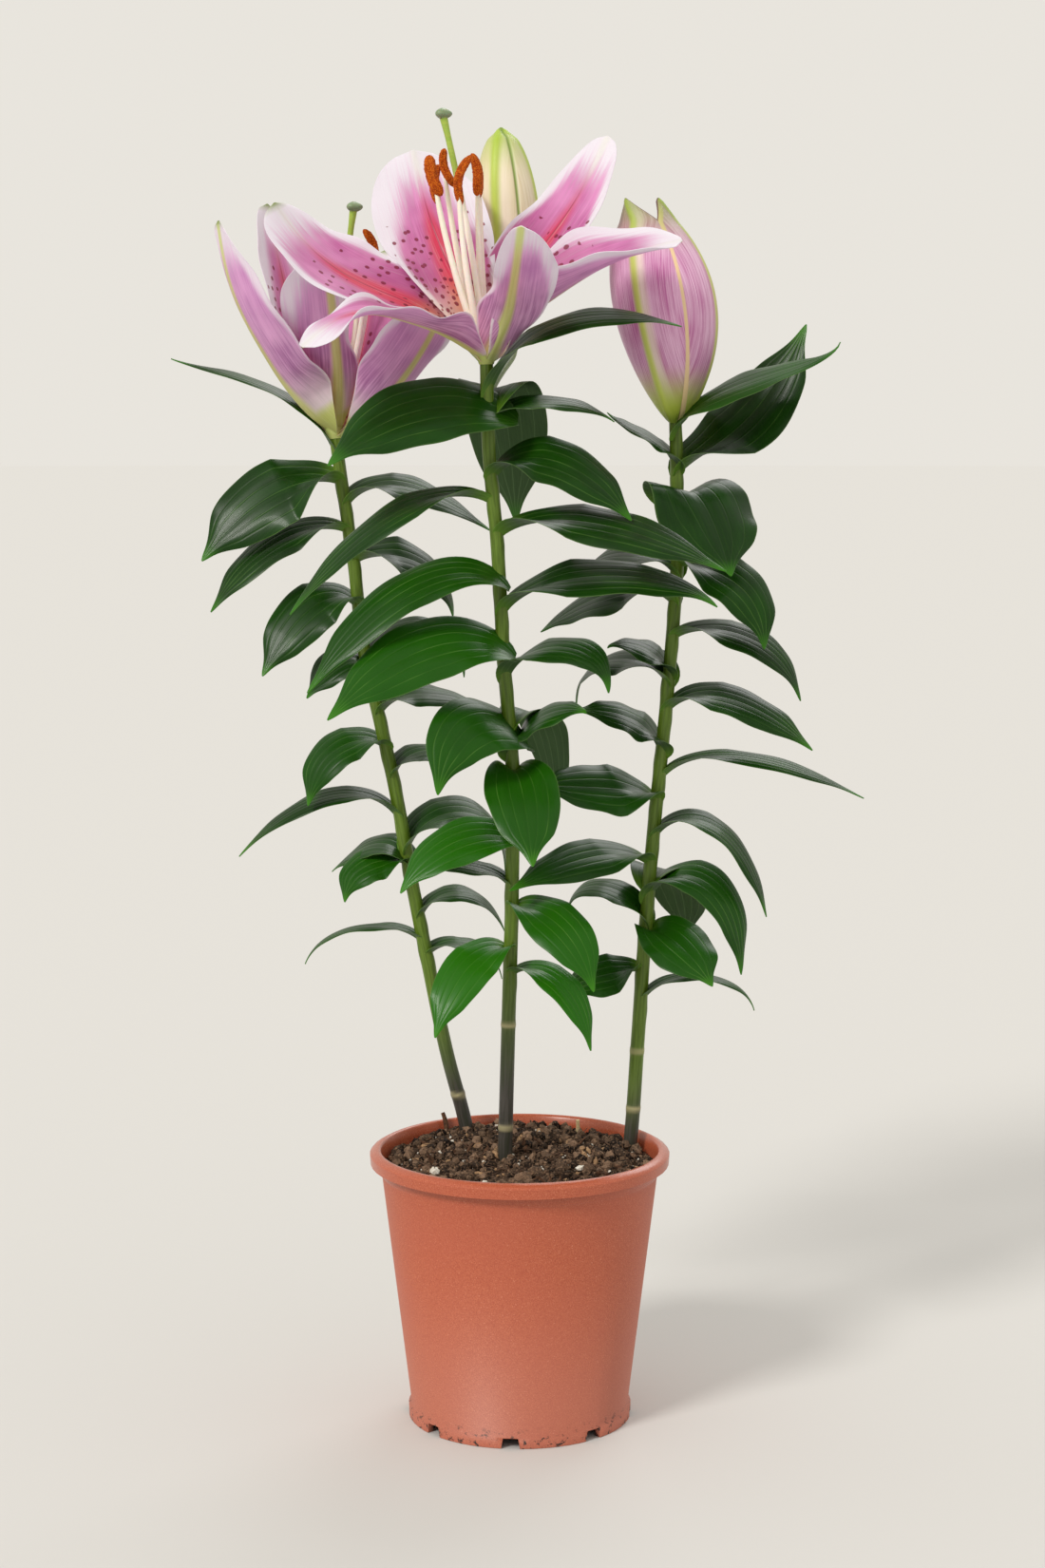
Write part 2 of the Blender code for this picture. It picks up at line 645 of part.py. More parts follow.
def make_anthers(name, collection, finish):
    """The anthers: bent pods of pollen that hang beside the tips of the filaments."""
    for i, anther in enumerate(ANTHERS[name]):
        middle, out = anther_middle(name, anther)
        lean = math.radians(anther[3])
        across = np.cross([0, 0, 1], out)
        axis = math.cos(lean) * np.array([0, 0, 1]) + math.sin(lean) * across
        other = math.cos(lean) * across - math.sin(lean) * np.array([0, 0, 1])
        pod = round_primitive(f"{name}_bloom_anther_{i + 1}", collection, finish, 6, 6)
        for vert in pod.data.vertices:
            x, y, z = vert.co
            place = middle + out * (ANTHER_RADIUS * x + ANTHER_BEND * z * z)
            place = place + other * ANTHER_RADIUS * y + axis * ANTHER_LENGTH / 2 * z
            vert.co = place * MM
        shade_smooth(pod, 80)


def make_bud(name, bud, depth, collection, finish):
    """A closed bud: a long pointed ball whose section has three ribs, stood on its stalk."""
    foot, tip, widest = np.array(bud[0], float), np.array(bud[1], float), bud[2]
    axis = unit(tip - foot)
    side = unit(np.cross([0, 1, 0], axis))
    front = np.cross(axis, side)
    shape = round_primitive(name, collection, finish, 18, 12)
    for vert in shape.data.vertices:
        share = (1 + vert.co.z) / 2
        turn = math.atan2(vert.co.y, vert.co.x)
        swell = 1.98 * share**0.62 * (1 - share) ** 0.5
        radius = widest * swell * (1 + depth * math.cos(3 * turn)) + 2.6 * (1 - share) ** 6
        radius *= math.hypot(vert.co.x, vert.co.y) > 1e-6
        place = foot + (tip - foot) * share + radius * (math.cos(turn) * side + math.sin(turn) * front)
        vert.co = place * MM
    shade_smooth(shape, 70)


def main():
    lily, cutters = clear_scene()
    terracotta = material("moulded plastic, terracotta", (0.53, 0.13, 0.075), 0.5)
    peat = material("peat compost", (0.035, 0.022, 0.015), 0.95)
    rust = material("pollen, rust", (0.45, 0.1, 0.01), 0.8)
    make_pot(lily, cutters, terracotta)
    make_soil(lily, cutters, peat)
    for name in STEMS:
        green = material(name + " leaf green", (0.02, 0.1, 0.015), 0.3)
        make_leafy_stem(name, lily, green)
    for name in TEPALS:
        pink = material(name + " bloom pink", (0.65, 0.22, 0.38), 0.5)
        lime = material(name + " pistil green", (0.55, 0.62, 0.25), 0.45)
        make_tepals(name, lily, pink)
        make_pistil(name, lily, lime)
        make_anthers(name, lily, rust)
    cream = material("green bud", (0.62, 0.68, 0.33), 0.45)
    rose = material("pink bud", (0.6, 0.25, 0.4), 0.45)
    make_bud("green_bud", GREEN_BUD, 0.07, lily, cream)
    make_bud("pink_bud", PINK_BUD, 0.08, lily, rose)


main()
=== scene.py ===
"""The looks of a potted stargazer lily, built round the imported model.

Sizes are in millimetres and angles in degrees until a mesh is made; Blender's own units are metres. The
origin is on the floor under the middle of the pot and -Y is the front. An azimuth is 0 towards +X, 90
towards the back and 270 towards the front. Each new piece is a surface worked out with numpy on a grid of
two parameters, t along it and u across it, and carries those numbers as attributes for its material.
"""

import functools
import math

import bpy
import numpy as np
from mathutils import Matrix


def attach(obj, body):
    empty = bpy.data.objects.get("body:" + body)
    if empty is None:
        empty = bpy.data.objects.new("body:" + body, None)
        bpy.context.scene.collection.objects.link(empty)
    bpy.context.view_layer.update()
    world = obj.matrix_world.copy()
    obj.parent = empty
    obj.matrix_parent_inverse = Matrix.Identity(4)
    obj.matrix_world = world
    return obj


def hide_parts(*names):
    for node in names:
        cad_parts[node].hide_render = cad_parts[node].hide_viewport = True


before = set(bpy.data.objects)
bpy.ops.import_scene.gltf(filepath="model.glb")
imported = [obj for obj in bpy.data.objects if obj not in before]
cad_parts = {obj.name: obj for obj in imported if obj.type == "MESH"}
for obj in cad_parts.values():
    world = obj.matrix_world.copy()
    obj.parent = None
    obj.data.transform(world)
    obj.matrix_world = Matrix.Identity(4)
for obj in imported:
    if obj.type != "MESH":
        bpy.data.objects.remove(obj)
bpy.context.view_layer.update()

MM = 0.001

# Camera: where the photograph was taken from, its downward pitch and the lens on a 36 mm sensor
CAMERA_PLACE = (1.5, -1523, 530)
CAMERA_PITCH = 7.0
CAMERA_LENS = 66.6

# Setting: soft daylight from the upper left and front, and a floor as bright as the sky
SKY_COLOUR = "F6F2EA"
SKY_STRENGTH = 0.88
FLOOR_COLOUR = "D0CFCD"
# Each lamp's place, strength, angle and tint
KEY = ((-1100, -1300, 1320), 1.7, 14, "FFFCF6")
BACK = ((500, 1300, 1150), 0.6, 30, "FFFFFF")

# Pot: its wall, foot and base plate, which the compost fits into
WALL = 1.3
WALL_BASE_RADIUS = 58.6
FOOT_HEIGHT = 6.0
BASE_PLATE = 2.0

# Compost: 8 mm below the rim at the wall and heaped round the stems
SOIL_LEVEL = 137.5
SOIL_HEAP = 8.5
SOIL_RADIUS = 72.3
# Bits on the compost: how many, the least radius, what the greatest has more, the power that makes large ones
# rare, the rise of a bit's middle in radii, the least and greatest length in widths where it isn't round, and
# the place and radius of those that are given one by one
BITS = {
    "crumbs": (3800, 0.4, 3.2, 5, 0.35, (0.7, 1.4), ()),
    "perlite": (
        380, 0.3, 1.0, 3, 0.7, None,
        ((-45, -28, 2.8), (-28, -58, 3.2), (-18, -52, 2.5), (-61, -38, 2.3), (32, -26, 2.5)),
    ),
    "bark": (70, 0.7, 0.9, 1, 0.8, (2, 4.5), ()),
    "coir": (150, 0.5, 1.2, 2, 0.8, (1, 2), ()),
}
# Peat fibres: how many, their least and greatest length, and their radius at either end
FIBRES = (170, 4, 13, 0.36, 0.16)
# A dead stub and a straw that stand in the compost: start, end, bow to the right, radius at either end, sides
STUB = ((-41, 58, 136), (-43, 60, 151), 1, 1.7, 1.1, 10)
STRAW = ((31, 48, 137), (32, 47, 150), 0.6, 1, 1, 8)

# Stems: points up the middle of each, (x, y, z), from under the compost to the neck of the flower
STEM_FOOT_RADIUS = 3.9
STEM_NECK_RADIUS = 3.4
STEM_SIDES = 24
# How far the stem stands out under each leaf and at each scar, and how far apart its rings of points are
SWELLING = 0.35
STEM_STEP = 1.6
STEMS = {
    "centre": (
        (-9, -6, 85), (-8, -9, 138), (-6, -11, 215), (-4, -13, 290), (-4, -15, 357),
        (-8, -16, 407), (-12, -18, 476), (-16, -19, 520), (-17, -20, 562),
    ),
    "left": (
        (-20, 46, 85), (-30, 50, 147), (-40, 50, 186), (-51, 50, 240), (-60, 50, 287),
        (-68, 49, 334), (-76, 49, 371), (-84, 49, 407), (-90, 49, 459), (-95, 49, 494), (-99, 49, 524),
    ),
    "right": (
        (52, 20, 85), (60, 24, 140), (64, 25, 197), (68, 26, 260), (72, 27, 311),
        (77, 28, 363), (81, 29, 409), (84, 31, 455), (84, 33, 495), (83, 34, 532),
    ),
}
# Heights of the pale scars that fallen leaves left, and the height at which each stem has turned dark
SCARS = {"centre": (160, 216), "left": (164,), "right": (162, 194)}
DARK_BELOW = {"centre": (170, 262), "left": (156, 222), "right": (142, 196)}
# The green bud's stalk leaves the centre stem below the open bloom
STALK_RADIUS = 2.4
STALK_RINGS = 40
STALK = ((-17, -19, 540), (-15, -4, 551), (-9, 24, 561), (-4, 48, 568), (-3, 58, 575), (-3, 61, 583))

# Leaves: height of the base up the stem, azimuth, reach from the stem, height of the tip over the base,
# arch of the midrib, width, roll (positive lifts the left edge, looking out from the stem), hook, the share
# of the reach at which the blade bends down, and tone, from 0 for a dark old leaf to 1 for a bright one
LEAVES = {
    "centre": (
        (541, -8, 100, 40, 38, 27, 25, 0.65, 0.15), (532, 75, 56, -52, 22, 46, 0, 0.7, 0.2),
        (538, 205, 88, -27, 5, 44, -46, 0.6, 0.25), (527, 8, 66, 6, 16, 24, 20, 0.7, 0.15),
        (501, -15, 74, -18, 15, 36, 40, 0.6, 0.15), (472, -18, 122, -14, 12, 34, 32, 0.5, 0.1),
        (431, -12, 113, 8, 22, 34, 32, 0.8, 0.1), (396, -35, 64, 0, 22, 28, 25, 1.0, 0.2),
        (356, -30, 44, 28, 24, 34, 28, 1.0, 0.3), (370, 62, 51, -46, 14, 30, 6, 1.05, 0.6),
        (490, 190, 106, -55, 8, 24, -28, 0.55, 0.2), (448, 200, 104, -52, 11, 30, -34, 0.55, 0.35),
        (413, 212, 104, -29, 10, 40, -42, 0.55, 0.55), (367, 232, 60, -22, 15, 40, -42, 0.85, 0.45),
        (350, 280, 60, -40, 3, 40, 0, 0.5, 0.5), (314, 205, 64, -23, 7, 32, -32, 0.65, 0.85),
        (287, 165, 50, 10, 12, 18, -15, 0.9, 0.3), (277, -45, 60, -35, 4, 32, 25, 0.75, 0.7),
        (254, 225, 55, -37, 5, 28, -28, 0.7, 0.95), (240, -30, 49, -33, 9, 22, 20, 0.85, 0.9),
    ),
    "left": (
        (505, 172, 93, 62, 40, 18, -12, 0.75, 0.15), (499, 190, 76, -40, 4, 44, -56, 0.55, 0.15),
        (473, 195, 76, -41, 5, 28, -32, 0.6, 0.1), (430, 205, 56, -32, 11, 34, -44, 0.55, 0.2),
        (393, 200, 36, -8, 14, 28, -30, 0.5, 0.2), (486, 12, 80, -12, 14, 30, 28, 0.5, 0.1),
        (456, 15, 55, -29, 7, 34, 35, 0.95, 0.1), (398, 5, 52, -3, 24, 28, 25, 1.05, 0.1),
        (373, 10, 58, 6, 12, 30, 18, 0.5, 0.15), (354, 200, 45, -27, 9, 30, -32, 0.9, 0.35),
        (313, 185, 89, -15, 20, 20, -20, 0.6, 0.15), (339, 15, 44, 11, 14, 26, 18, 0.5, 0.15),
        (297, 20, 57, -11, 24, 34, 28, 1.05, 0.2), (291, 195, 36, -18, 5, 28, -34, 1.0, 0.5),
        (286, 160, 47, 0, 17, 28, -20, 0.5, 0.3), (246, 180, 66, -9, 13, 16, -5, 0.85, 0.2),
        (260, 8, 47, -6, 17, 22, 14, 0.8, 0.2), (240, 12, 42, -13, 9, 22, 14, 0.9, 0.3),
    ),
    "right": (
        (524, -26, 92, 50, 26, 36, 26, 0.95, 0.4), (503, 14, 72, 82, 12, 42, 45, 0.6, 0.1),
        (504, 190, 38, 34, 18, 26, -20, 0.7, 0.2), (484, -55, 46, -31, 14, 64, 4, 0.5, 0.15),
        (457, -30, 52, -43, 0, 36, 30, 1.0, 0.2), (416, -15, 70, -30, 9, 28, 24, 0.85, 0.1),
        (376, -15, 80, -16, 13, 30, 28, 0.55, 0.15), (340, -5, 110, -7, 16, 17, 20, 0.5, 0.15),
        (306, -10, 62, -37, 18, 24, 16, 0.8, 0.15), (273, -20, 53, -34, 21, 30, 26, 1.0, 0.3),
        (281, 60, 46, -34, 12, 40, 0, 1.0, 0.25), (257, -50, 53, -20, 4, 40, 16, 0.5, 0.45),
        (218, 0, 62, -2, 17, 16, 6, 0.9, 0.4), (434, 165, 74, -14, 11, 42, -26, 0.5, 0.1),
        (449, 155, 54, -1, 14, 36, -22, 0.95, 0.1), (395, 185, 33, 18, 17, 30, -20, 0.95, 0.2),
        (391, 150, 56, -13, 16, 38, -20, 1.05, 0.15), (353, 195, 47, 28, 20, 36, -28, 0.7, 0.2),
        (328, 211, 76, 16, 9, 38, -42, 0.6, 0.3), (294, 218, 96, -3, 10, 30, -30, 0.55, 0.3),
        (260, 160, 44, 6, 22, 28, -15, 1.05, 0.4), (238, 190, 45, -10, 0, 30, -34, 0.55, 0.4),
    ),
}
# How far a leaf's rounded base reaches past the middle of its stem, by the height of the base, and how far it
# stands in front of that middle
LOBES = {524: 3, 538: 17, 448: 5, 413: 7, 367: 15, 314: 6}
LOBE_FRONT = 9.5
LEAF_GRID = (44, 19)
LEAF_THICKNESS = 0.6

# Tepals: azimuth, length, width, elevation at the base, in the middle and at the tip, roll, cup, the angle
# by which each side bends up at the base, hold, which keeps that bend further out where it is small, ruffle,
# the height of the waves in its edges, veer, the turn of its base from its azimuth, slim, the share of its
# right half that is rolled out of sight further out (of its left half where it is below 0), and rise, which
# makes the base broad where it is small
TEPALS = {
    "centre": (
        (112, 140, 60, 76, 41, 60, -15, 20, 0.32, 1.6, 46, 0, 0.92),
        (179, 135, 53, 49, 22, 55, -35, 45, 0.6, 1.6, 2, 0, 0.98),
        (218, 120, 46, 30, 12, -38, -8, 61, 0.52, 3.0, -2, 0.3, 0.64),
        (277, 97, 43, 56, 34, 43, -12, 45, 0.55, 1.4, 35, 0.5, 0.73),
        (-13, 119, 65, 50, 32, 11, 18, 103, 0.5, 2.2, -6, 0, 0.72),
        (41, 148, 42, 73, 44, 59, 27, 45, 0.15, 1.6, 12, 0, 0.35),
    ),
    "left": (
        (211, 132, 65, 38, 56, 82, -14, 78, 0.43, 1.2, -6, 0, 0.54),
        (136, 137, 40, 54, 69, 75, 11, 44, 0.5, 1.4, -3, 0, 0.75),
        (266, 112, 54, 67, 55, 50, 22, 73, 0.43, 1.2, 20, -0.6, 1.1),
        (333, 98, 53, 27, 49, 62, -25, 75, 0.53, 1.2, 10, -0.4, 0.9),
        (5, 90, 44, 40, 48, 38, 0, 40, 0.5, 1.6, 0, 0, 0.75),
        (65, 116, 50, 56, 66, 56, 0, 40, 0.5, 1.6, 0, 0, 0.75),
    ),
}
# For each tepal: how strong and wide its crimson middle is, and how wide its white edge and its rib are
TINTS = {
    "centre": (
        (1.0, 1.7, 1), (1.0, 0.7, 1), (1.2, 0.45, 1), (0.8, 1.1, 1.3), (0.45, 0.9, 1), (0.65, 0.75, 1),
    ),
    "left": (
        (0.6, 0.5, 2.4), (0.8, 1.6, 1), (0.6, 1.3, 1.4), (0.8, 0.5, 1.2), (0.45, 0.8, 1), (0.45, 0.8, 1),
    ),
}
# The shares of a tepal's length between which the pale base outside turns mauve
PALE_BASE = {"centre": (0.02, 0.1), "left": (0.08, 0.38)}
# How far an inner and an outer tepal start up the neck and out from its middle line
TEPAL_SEATS = ((2.6, 1), (1.2, 2.6))
TEPAL_GRID = (60, 33)
TEPAL_THICKNESS = 0.8
RECEPTACLE_HEIGHT = 6.0
RECEPTACLE_RADIUS = 5.6
# The gap between the neck of a stem and its bloom, and half of the one between the receptacle and the pistil
FIT = 0.3

# The pistil's sizes, the filaments' radii at shares of their length, how deep each ends in its anther, how
# far an anther's ends are bent inwards, and the pistil's tip from the neck of the flower
STYLE_RADIUS = 1.6
STIGMA_RADIUS = 4.3
STIGMA_HEIGHT = 5.6
FILAMENT = ((0, 0.15, 0.85, 1), (2.3, 2.0, 1.3, 0.6))
FILAMENT_SUNK = 2.1
ANTHER_BEND = 3.0
PISTILS = {"centre": (-22, 0, 126), "left": (11, -8, 122)}
# Each row: the middle of an anther from the neck, its lean to the left as the camera sees it, the bow, how
# far its ends are bent to the camera's right, its radius and its length
ANTHERS = {
    "centre": (
        (-27.5, -6, 95, 15, -1, 3.1, 21), (-21.5, 8, 100, 17, 0.5, 2.2, 20),
        (-14, -9, 92.5, -9, 1.8, 2.3, 25), (-4.5, 4, 96, 2, -2.6, 2.4, 21),
        (-27, 14, 92, 0, 0, 2.3, 20), (-3.8, 12, 95, 2, -1.6, 2.3, 20),
    ),
    "left": (
        (21, 6, 101, 8, -1, 2.4, 21), (2, -16, 86, -12, 0, 2.4, 21), (-4, 0, 88, 8, 0, 2.4, 21),
        (2, 13, 90, 20, 0, 2.4, 21), (18, -10, 88, -20, 0, 2.4, 21), (12, 15, 84, 15, 0, 2.4, 21),
    ),
}

# Buds: the foot and the tip of the middle line, the line's bow to the right, the greatest radius, the two
# exponents of the profile, the share of the height at which the tepals' edges part, the distance of the tips
# from the middle line, and for each outer tepal its azimuth where it starts, where it ends, at its rib and at
# its tip, and its share of the height
GREEN_BUD = (
    (-3, 61.2, 583.4), (-10, 66, 690), 0, 16.8, 0.62, 0.56, 0.94, 0.2,
    ((186, 293, 250, 210, 1), (292, 410, 350, 320, 1), (50, 187, 117, 90, 1)),
)
PINK_BUD = (
    (83, 34, 532.4), (64.8, 33, 650), 3.6, 27.4, 0.85, 0.7, 0.89, 9.2,
    ((172, 289, 237, 195, 1), (284, 402, 340, 330, 1), (38, 176, 110, 90, 0.9)),
)
GREEN_BUD_COLOURS = ("EFE4C8", "DCCDA0", "B4CC3E", "F0EACC", "76922C", "C2C878", "9DBA34")
PINK_BUD_COLOURS = ("F0C4E2", "B9599A", "C4D25A", "EFD2A0", "5A2038", "BED04C", "7C9A2C")
# The share of the height at which a bud's surface starts, its length for its veins, and a distance from every
# rib and seam that puts a place out of their reach
BUD_START = 0.003
BUD_LENGTH = 115
FAR = 9.0


def unit(vector):
    """The vectors at length 1."""
    return vector / np.maximum(np.linalg.norm(vector, axis=-1, keepdims=True), 1e-9)


def smooth_step(low, high, value):
    """0 below low, 1 above high, and a smooth turn between."""
    share = np.clip((value - low) / (high - low), 0, 1)
    return share * share * (3 - 2 * share)


def hill(value, width):
    """1 where the value is 0, falling away on both sides: e to the power of -(value / width)^2."""
    return np.exp(-((value / width) ** 2))


def smooth_path(points, heights):
    """Places on the smooth curve through the points, at these heights: a cubic between each two points."""
    points = np.array(points, float)
    z = points[:, 2]
    slope = np.gradient(points, z, axis=0)
    i = np.clip(np.searchsorted(z, heights) - 1, 0, len(z) - 2)
    span = (z[i + 1] - z[i])[:, None]
    s = (np.asarray(heights)[:, None] - z[i][:, None]) / span
    return (
        points[i] * (1 + 2 * s) * (1 - s) ** 2
        + slope[i] * span * s * (1 - s) ** 2
        + points[i + 1] * s**2 * (3 - 2 * s)
        - slope[i + 1] * span * s**2 * (1 - s)
    )


def along_path(path, t):
    """Places and directions at shares t of a path's length."""
    run = np.concatenate([[0], np.cumsum(np.linalg.norm(np.diff(path, axis=0), axis=1))])
    run /= run[-1]
    heading = unit(np.gradient(path, run, axis=0))
    place = np.stack([np.interp(t, run, path[:, k]) for k in range(3)], -1)
    heading = np.stack([np.interp(t, run, heading[:, k]) for k in range(3)], -1)
    return place, unit(heading)


def blade_frame(path, t, azimuth, roll, early=0.0):
    """Places on a path, and the blade's sideways and upward directions there, turned by the roll, which grows
    from the base; early is the share of it that the base has already."""
    place, heading = along_path(path, t)
    a = math.radians(azimuth)
    left = np.array([-math.sin(a), math.cos(a), 0.0])
    side = unit(left - (heading @ left)[..., None] * heading)
    up = np.cross(heading, side)
    turn = (np.radians(roll) * (early + (1 - early) * np.clip(t / 0.35, 0, 1) ** 1.5))[..., None]
    return place, side * np.cos(turn) + up * np.sin(turn), up * np.cos(turn) - side * np.sin(turn)


def grid(rows, columns):
    """Parameters t from 0 to 1 down the rows and u from -1 to 1 across the columns."""
    return np.meshgrid(np.linspace(0, 1, rows), np.linspace(-1, 1, columns), indexing="ij")


def leaf_path(foot, azimuth, reach, tip, arch, hook, lobe):
    """A leaf's midrib: a cubic curve that rises steeply from the stem, arches, and bends down to the tip. A
    lobe draws its start back past the stem, in front of it."""
    t = np.linspace(0, 1, 60)
    a = math.radians(azimuth)
    out = np.array([math.cos(a), math.sin(a), 0.0])
    run = reach * (0.36 * t * (1 - t) ** 2 + 3 * hook * t**2 * (1 - t) + t**3)
    lift = 4 * arch * t * (1 - t) + tip * t**3
    back = (1 - t) ** 4
    front = LOBE_FRONT * (1 - t) ** 1.2 * (lobe > 0)
    return foot + (run - lobe * back)[:, None] * out + np.stack([0 * t, -front, lift - 0.3 * lobe * back], -1)


def leaf_blade(foot, leaf, t, u):
    """A leaf's surface: its half width is w/2 * 2.56 t^0.55 (1-t)^0.85, drawn in at the tip. It is folded up
    by 44 degrees where it clasps the stem, or by 12 where it has a lobe, and bent down like an arch further
    out, with shallow grooves at its five veins and slow waves along each edge."""
    height, azimuth, reach, tip, arch, width, roll, hook, _ = leaf
    lobe = LOBES.get(height, 0)
    path = leaf_path(np.array(foot), azimuth, reach, tip, arch, hook, lobe)
    place, side, up = blade_frame(path, t, azimuth, roll, 0.9 if lobe else 0)
    outline = 2.56 * t**0.55 * (1 - t) ** 0.85 * (1 - 0.45 * smooth_step(0.74, 0.95, t))
    half = width / 2 * np.hypot(outline, 0.22 * (1 - t) ** 3) + 0.4 * t**4
    fold = np.radians(12 if lobe else 44) * (1 - t) ** 5 + np.radians(8)
    crown = 0.22 * np.clip(t / 0.4, 0, 1)
    rise = half * (np.sqrt(u * u + 0.003) * np.sin(fold) - crown * u**2)
    ribs = -0.006 * half * np.cos(6 * np.pi * u) * (1 - u**2)
    swing = np.sin(9 * t + height + np.sign(u)) + 0.5 * np.sin(21 * t + 2 * height)
    wave = 0.03 * width * swing * t * (1 - t) * 4 * np.abs(u) ** 3
    surface = place + (half * u * np.cos(fold))[..., None] * side + (rise + ribs + wave)[..., None] * up
    return surface, half


def tepal_path(foot, azimuth, length, lift, spread, tip, veer):
    """A tepal's midrib: its elevation turns smoothly from the base's to the middle's and to the tip's, and
    its azimuth from azimuth + veer at the base to azimuth by the middle."""
    steps = 79
    t = np.linspace(0, 1, steps + 1)
    e = np.radians(
        lift + (spread - lift) * smooth_step(0, 0.45, t) + (tip - spread) * smooth_step(0.45, 1, t)
    )
    a = np.radians(azimuth + veer * (1 - smooth_step(0, 0.5, t)))
    step = np.stack([np.cos(e) * np.cos(a), np.cos(e) * np.sin(a), np.sin(e)], -1) * length / steps
    return foot + np.cumsum(step, axis=0) - step[0]


def tepal_blade(foot, tepal, t, u):
    """A tepal's surface: its half width goes as t^rise (1-t)^0.5 up to w/2, bent across into an arc of cup
    degrees a side that flattens and turns back towards the end, with a furrow along the midrib and edges that
    wave by the ruffle."""
    azimuth, length, width, lift, spread, tip, roll, cup, hold, ruffle, veer, slim, rise = tepal
    path = tepal_path(np.array(foot), azimuth, length, lift, spread, tip, veer)
    place, side, up = blade_frame(path, t, azimuth, roll)
    peak = rise / (rise + 0.5)
    outline = t**rise * (1 - t) ** 0.5 / (peak**rise * (1 - peak) ** 0.5)
    half = width / 2 * np.hypot(outline, 0.13 * (1 - t) ** 2) + 0.5 * t**4
    half = half * (1 - abs(slim) * smooth_step(0.25, 0.5, t) * (u * slim < 0))
    bend = np.radians(cup) * (1 - t) ** hold * np.clip(5 * t, 0, 1) - 0.3 * np.clip((t - 0.45) / 0.5, 0, 1)
    reach = half * u * np.sinc(bend * u / np.pi)
    lift = half * u * np.sin(bend * u / 2) * np.sinc(bend * u / (2 * np.pi))
    phase = math.radians(azimuth)
    waves = np.sin(11 * t + phase + 2 * np.sign(u)) + 0.6 * np.sin(23 * t + 2 * phase + np.sign(u))
    edge = ruffle * waves * np.abs(u) ** 4 * np.clip(6 * t * (1 - t), 0, 1)
    furrow = -0.9 * hill(half * u, 1.8) * (1 - t) * np.clip(8 * t, 0, 1)
    ribs = 0.14 * np.cos(half * u / 1.5) * hill(half * u, 14) * np.clip(4 * t * (1 - t), 0, 1)
    surface = place + reach[..., None] * side + (lift + edge + furrow + ribs)[..., None] * up
    return surface, half


def shell(middle, thickness):
    """A closed thin shell round a grid of places: each side lies half the thickness off along the grid's
    normal, and a rim joins them. Returns its points and its faces."""
    rows, columns = middle.shape[:2]
    normal = unit(np.cross(np.gradient(middle, axis=0), np.gradient(middle, axis=1)))
    offset = normal * (thickness / 2)[..., None]
    points = np.concatenate([(middle + offset).reshape(-1, 3), (middle - offset).reshape(-1, 3)])
    index = np.arange(rows * columns).reshape(rows, columns)
    top = np.stack([index[:-1, :-1], index[1:, :-1], index[1:, 1:], index[:-1, 1:]], -1).reshape(-1, 4)
    loop = np.concatenate([index[:-1, 0], index[-1, :-1], index[:0:-1, -1], index[0, :0:-1]])
    after = np.roll(loop, -1)
    low = rows * columns
    rim = np.stack([after, loop, loop + low, after + low], -1)
    return points, np.concatenate([top, top[:, ::-1] + low, rim])


def ring_faces(rings, sides):
    """The faces of a closed rod's wall, and those of its ends. Its points are its rings, which turn to the
    left as seen from its end, and then the middle of its first end and of its last."""
    index = np.arange(rings * sides).reshape(rings, sides)
    beside = np.roll(index, -1, axis=1)
    wall = np.stack([index[:-1], beside[:-1], beside[1:], index[1:]], -1).reshape(-1, 4)
    first = np.stack([beside[0], index[0], np.full(sides, index.size)], -1)
    last = np.stack([index[-1], beside[-1], np.full(sides, index.size + 1)], -1)
    return wall, np.concatenate([first, last])


def tube(path, radii, sides, squash=None):
    """A closed round rod along a path: rings of points about it at these radii, each ring turned as little as
    the path allows, and a point in the middle of each end. squash(angle) scales the radius round the ring.
    Returns its points, the faces of its wall and those of its ends."""
    path = np.asarray(path, float)
    heading = unit(np.gradient(path, axis=0))
    start = np.array([1.0, 0, 0]) if abs(heading[0, 0]) < 0.9 else np.array([0, 1.0, 0])
    across = unit(start - (heading @ start)[:, None] * heading)
    other = np.cross(heading, across)
    angle = np.arange(sides) * 2 * np.pi / sides
    radii = np.broadcast_to(np.asarray(radii, float).reshape(len(path), -1), (len(path), sides)).copy()
    if squash is not None:
        radii *= squash(angle)
    ring = np.cos(angle)[:, None] * across[:, None] + np.sin(angle)[:, None] * other[:, None]
    points = (path[:, None] + radii[..., None] * ring).reshape(-1, 3)
    return np.concatenate([points, path[:1], path[-1:]]), *ring_faces(len(path), sides)


def new_object(name, data):
    """A new object in the scene."""
    thing = bpy.data.objects.new(name, data)
    bpy.context.scene.collection.objects.link(thing)
    return thing


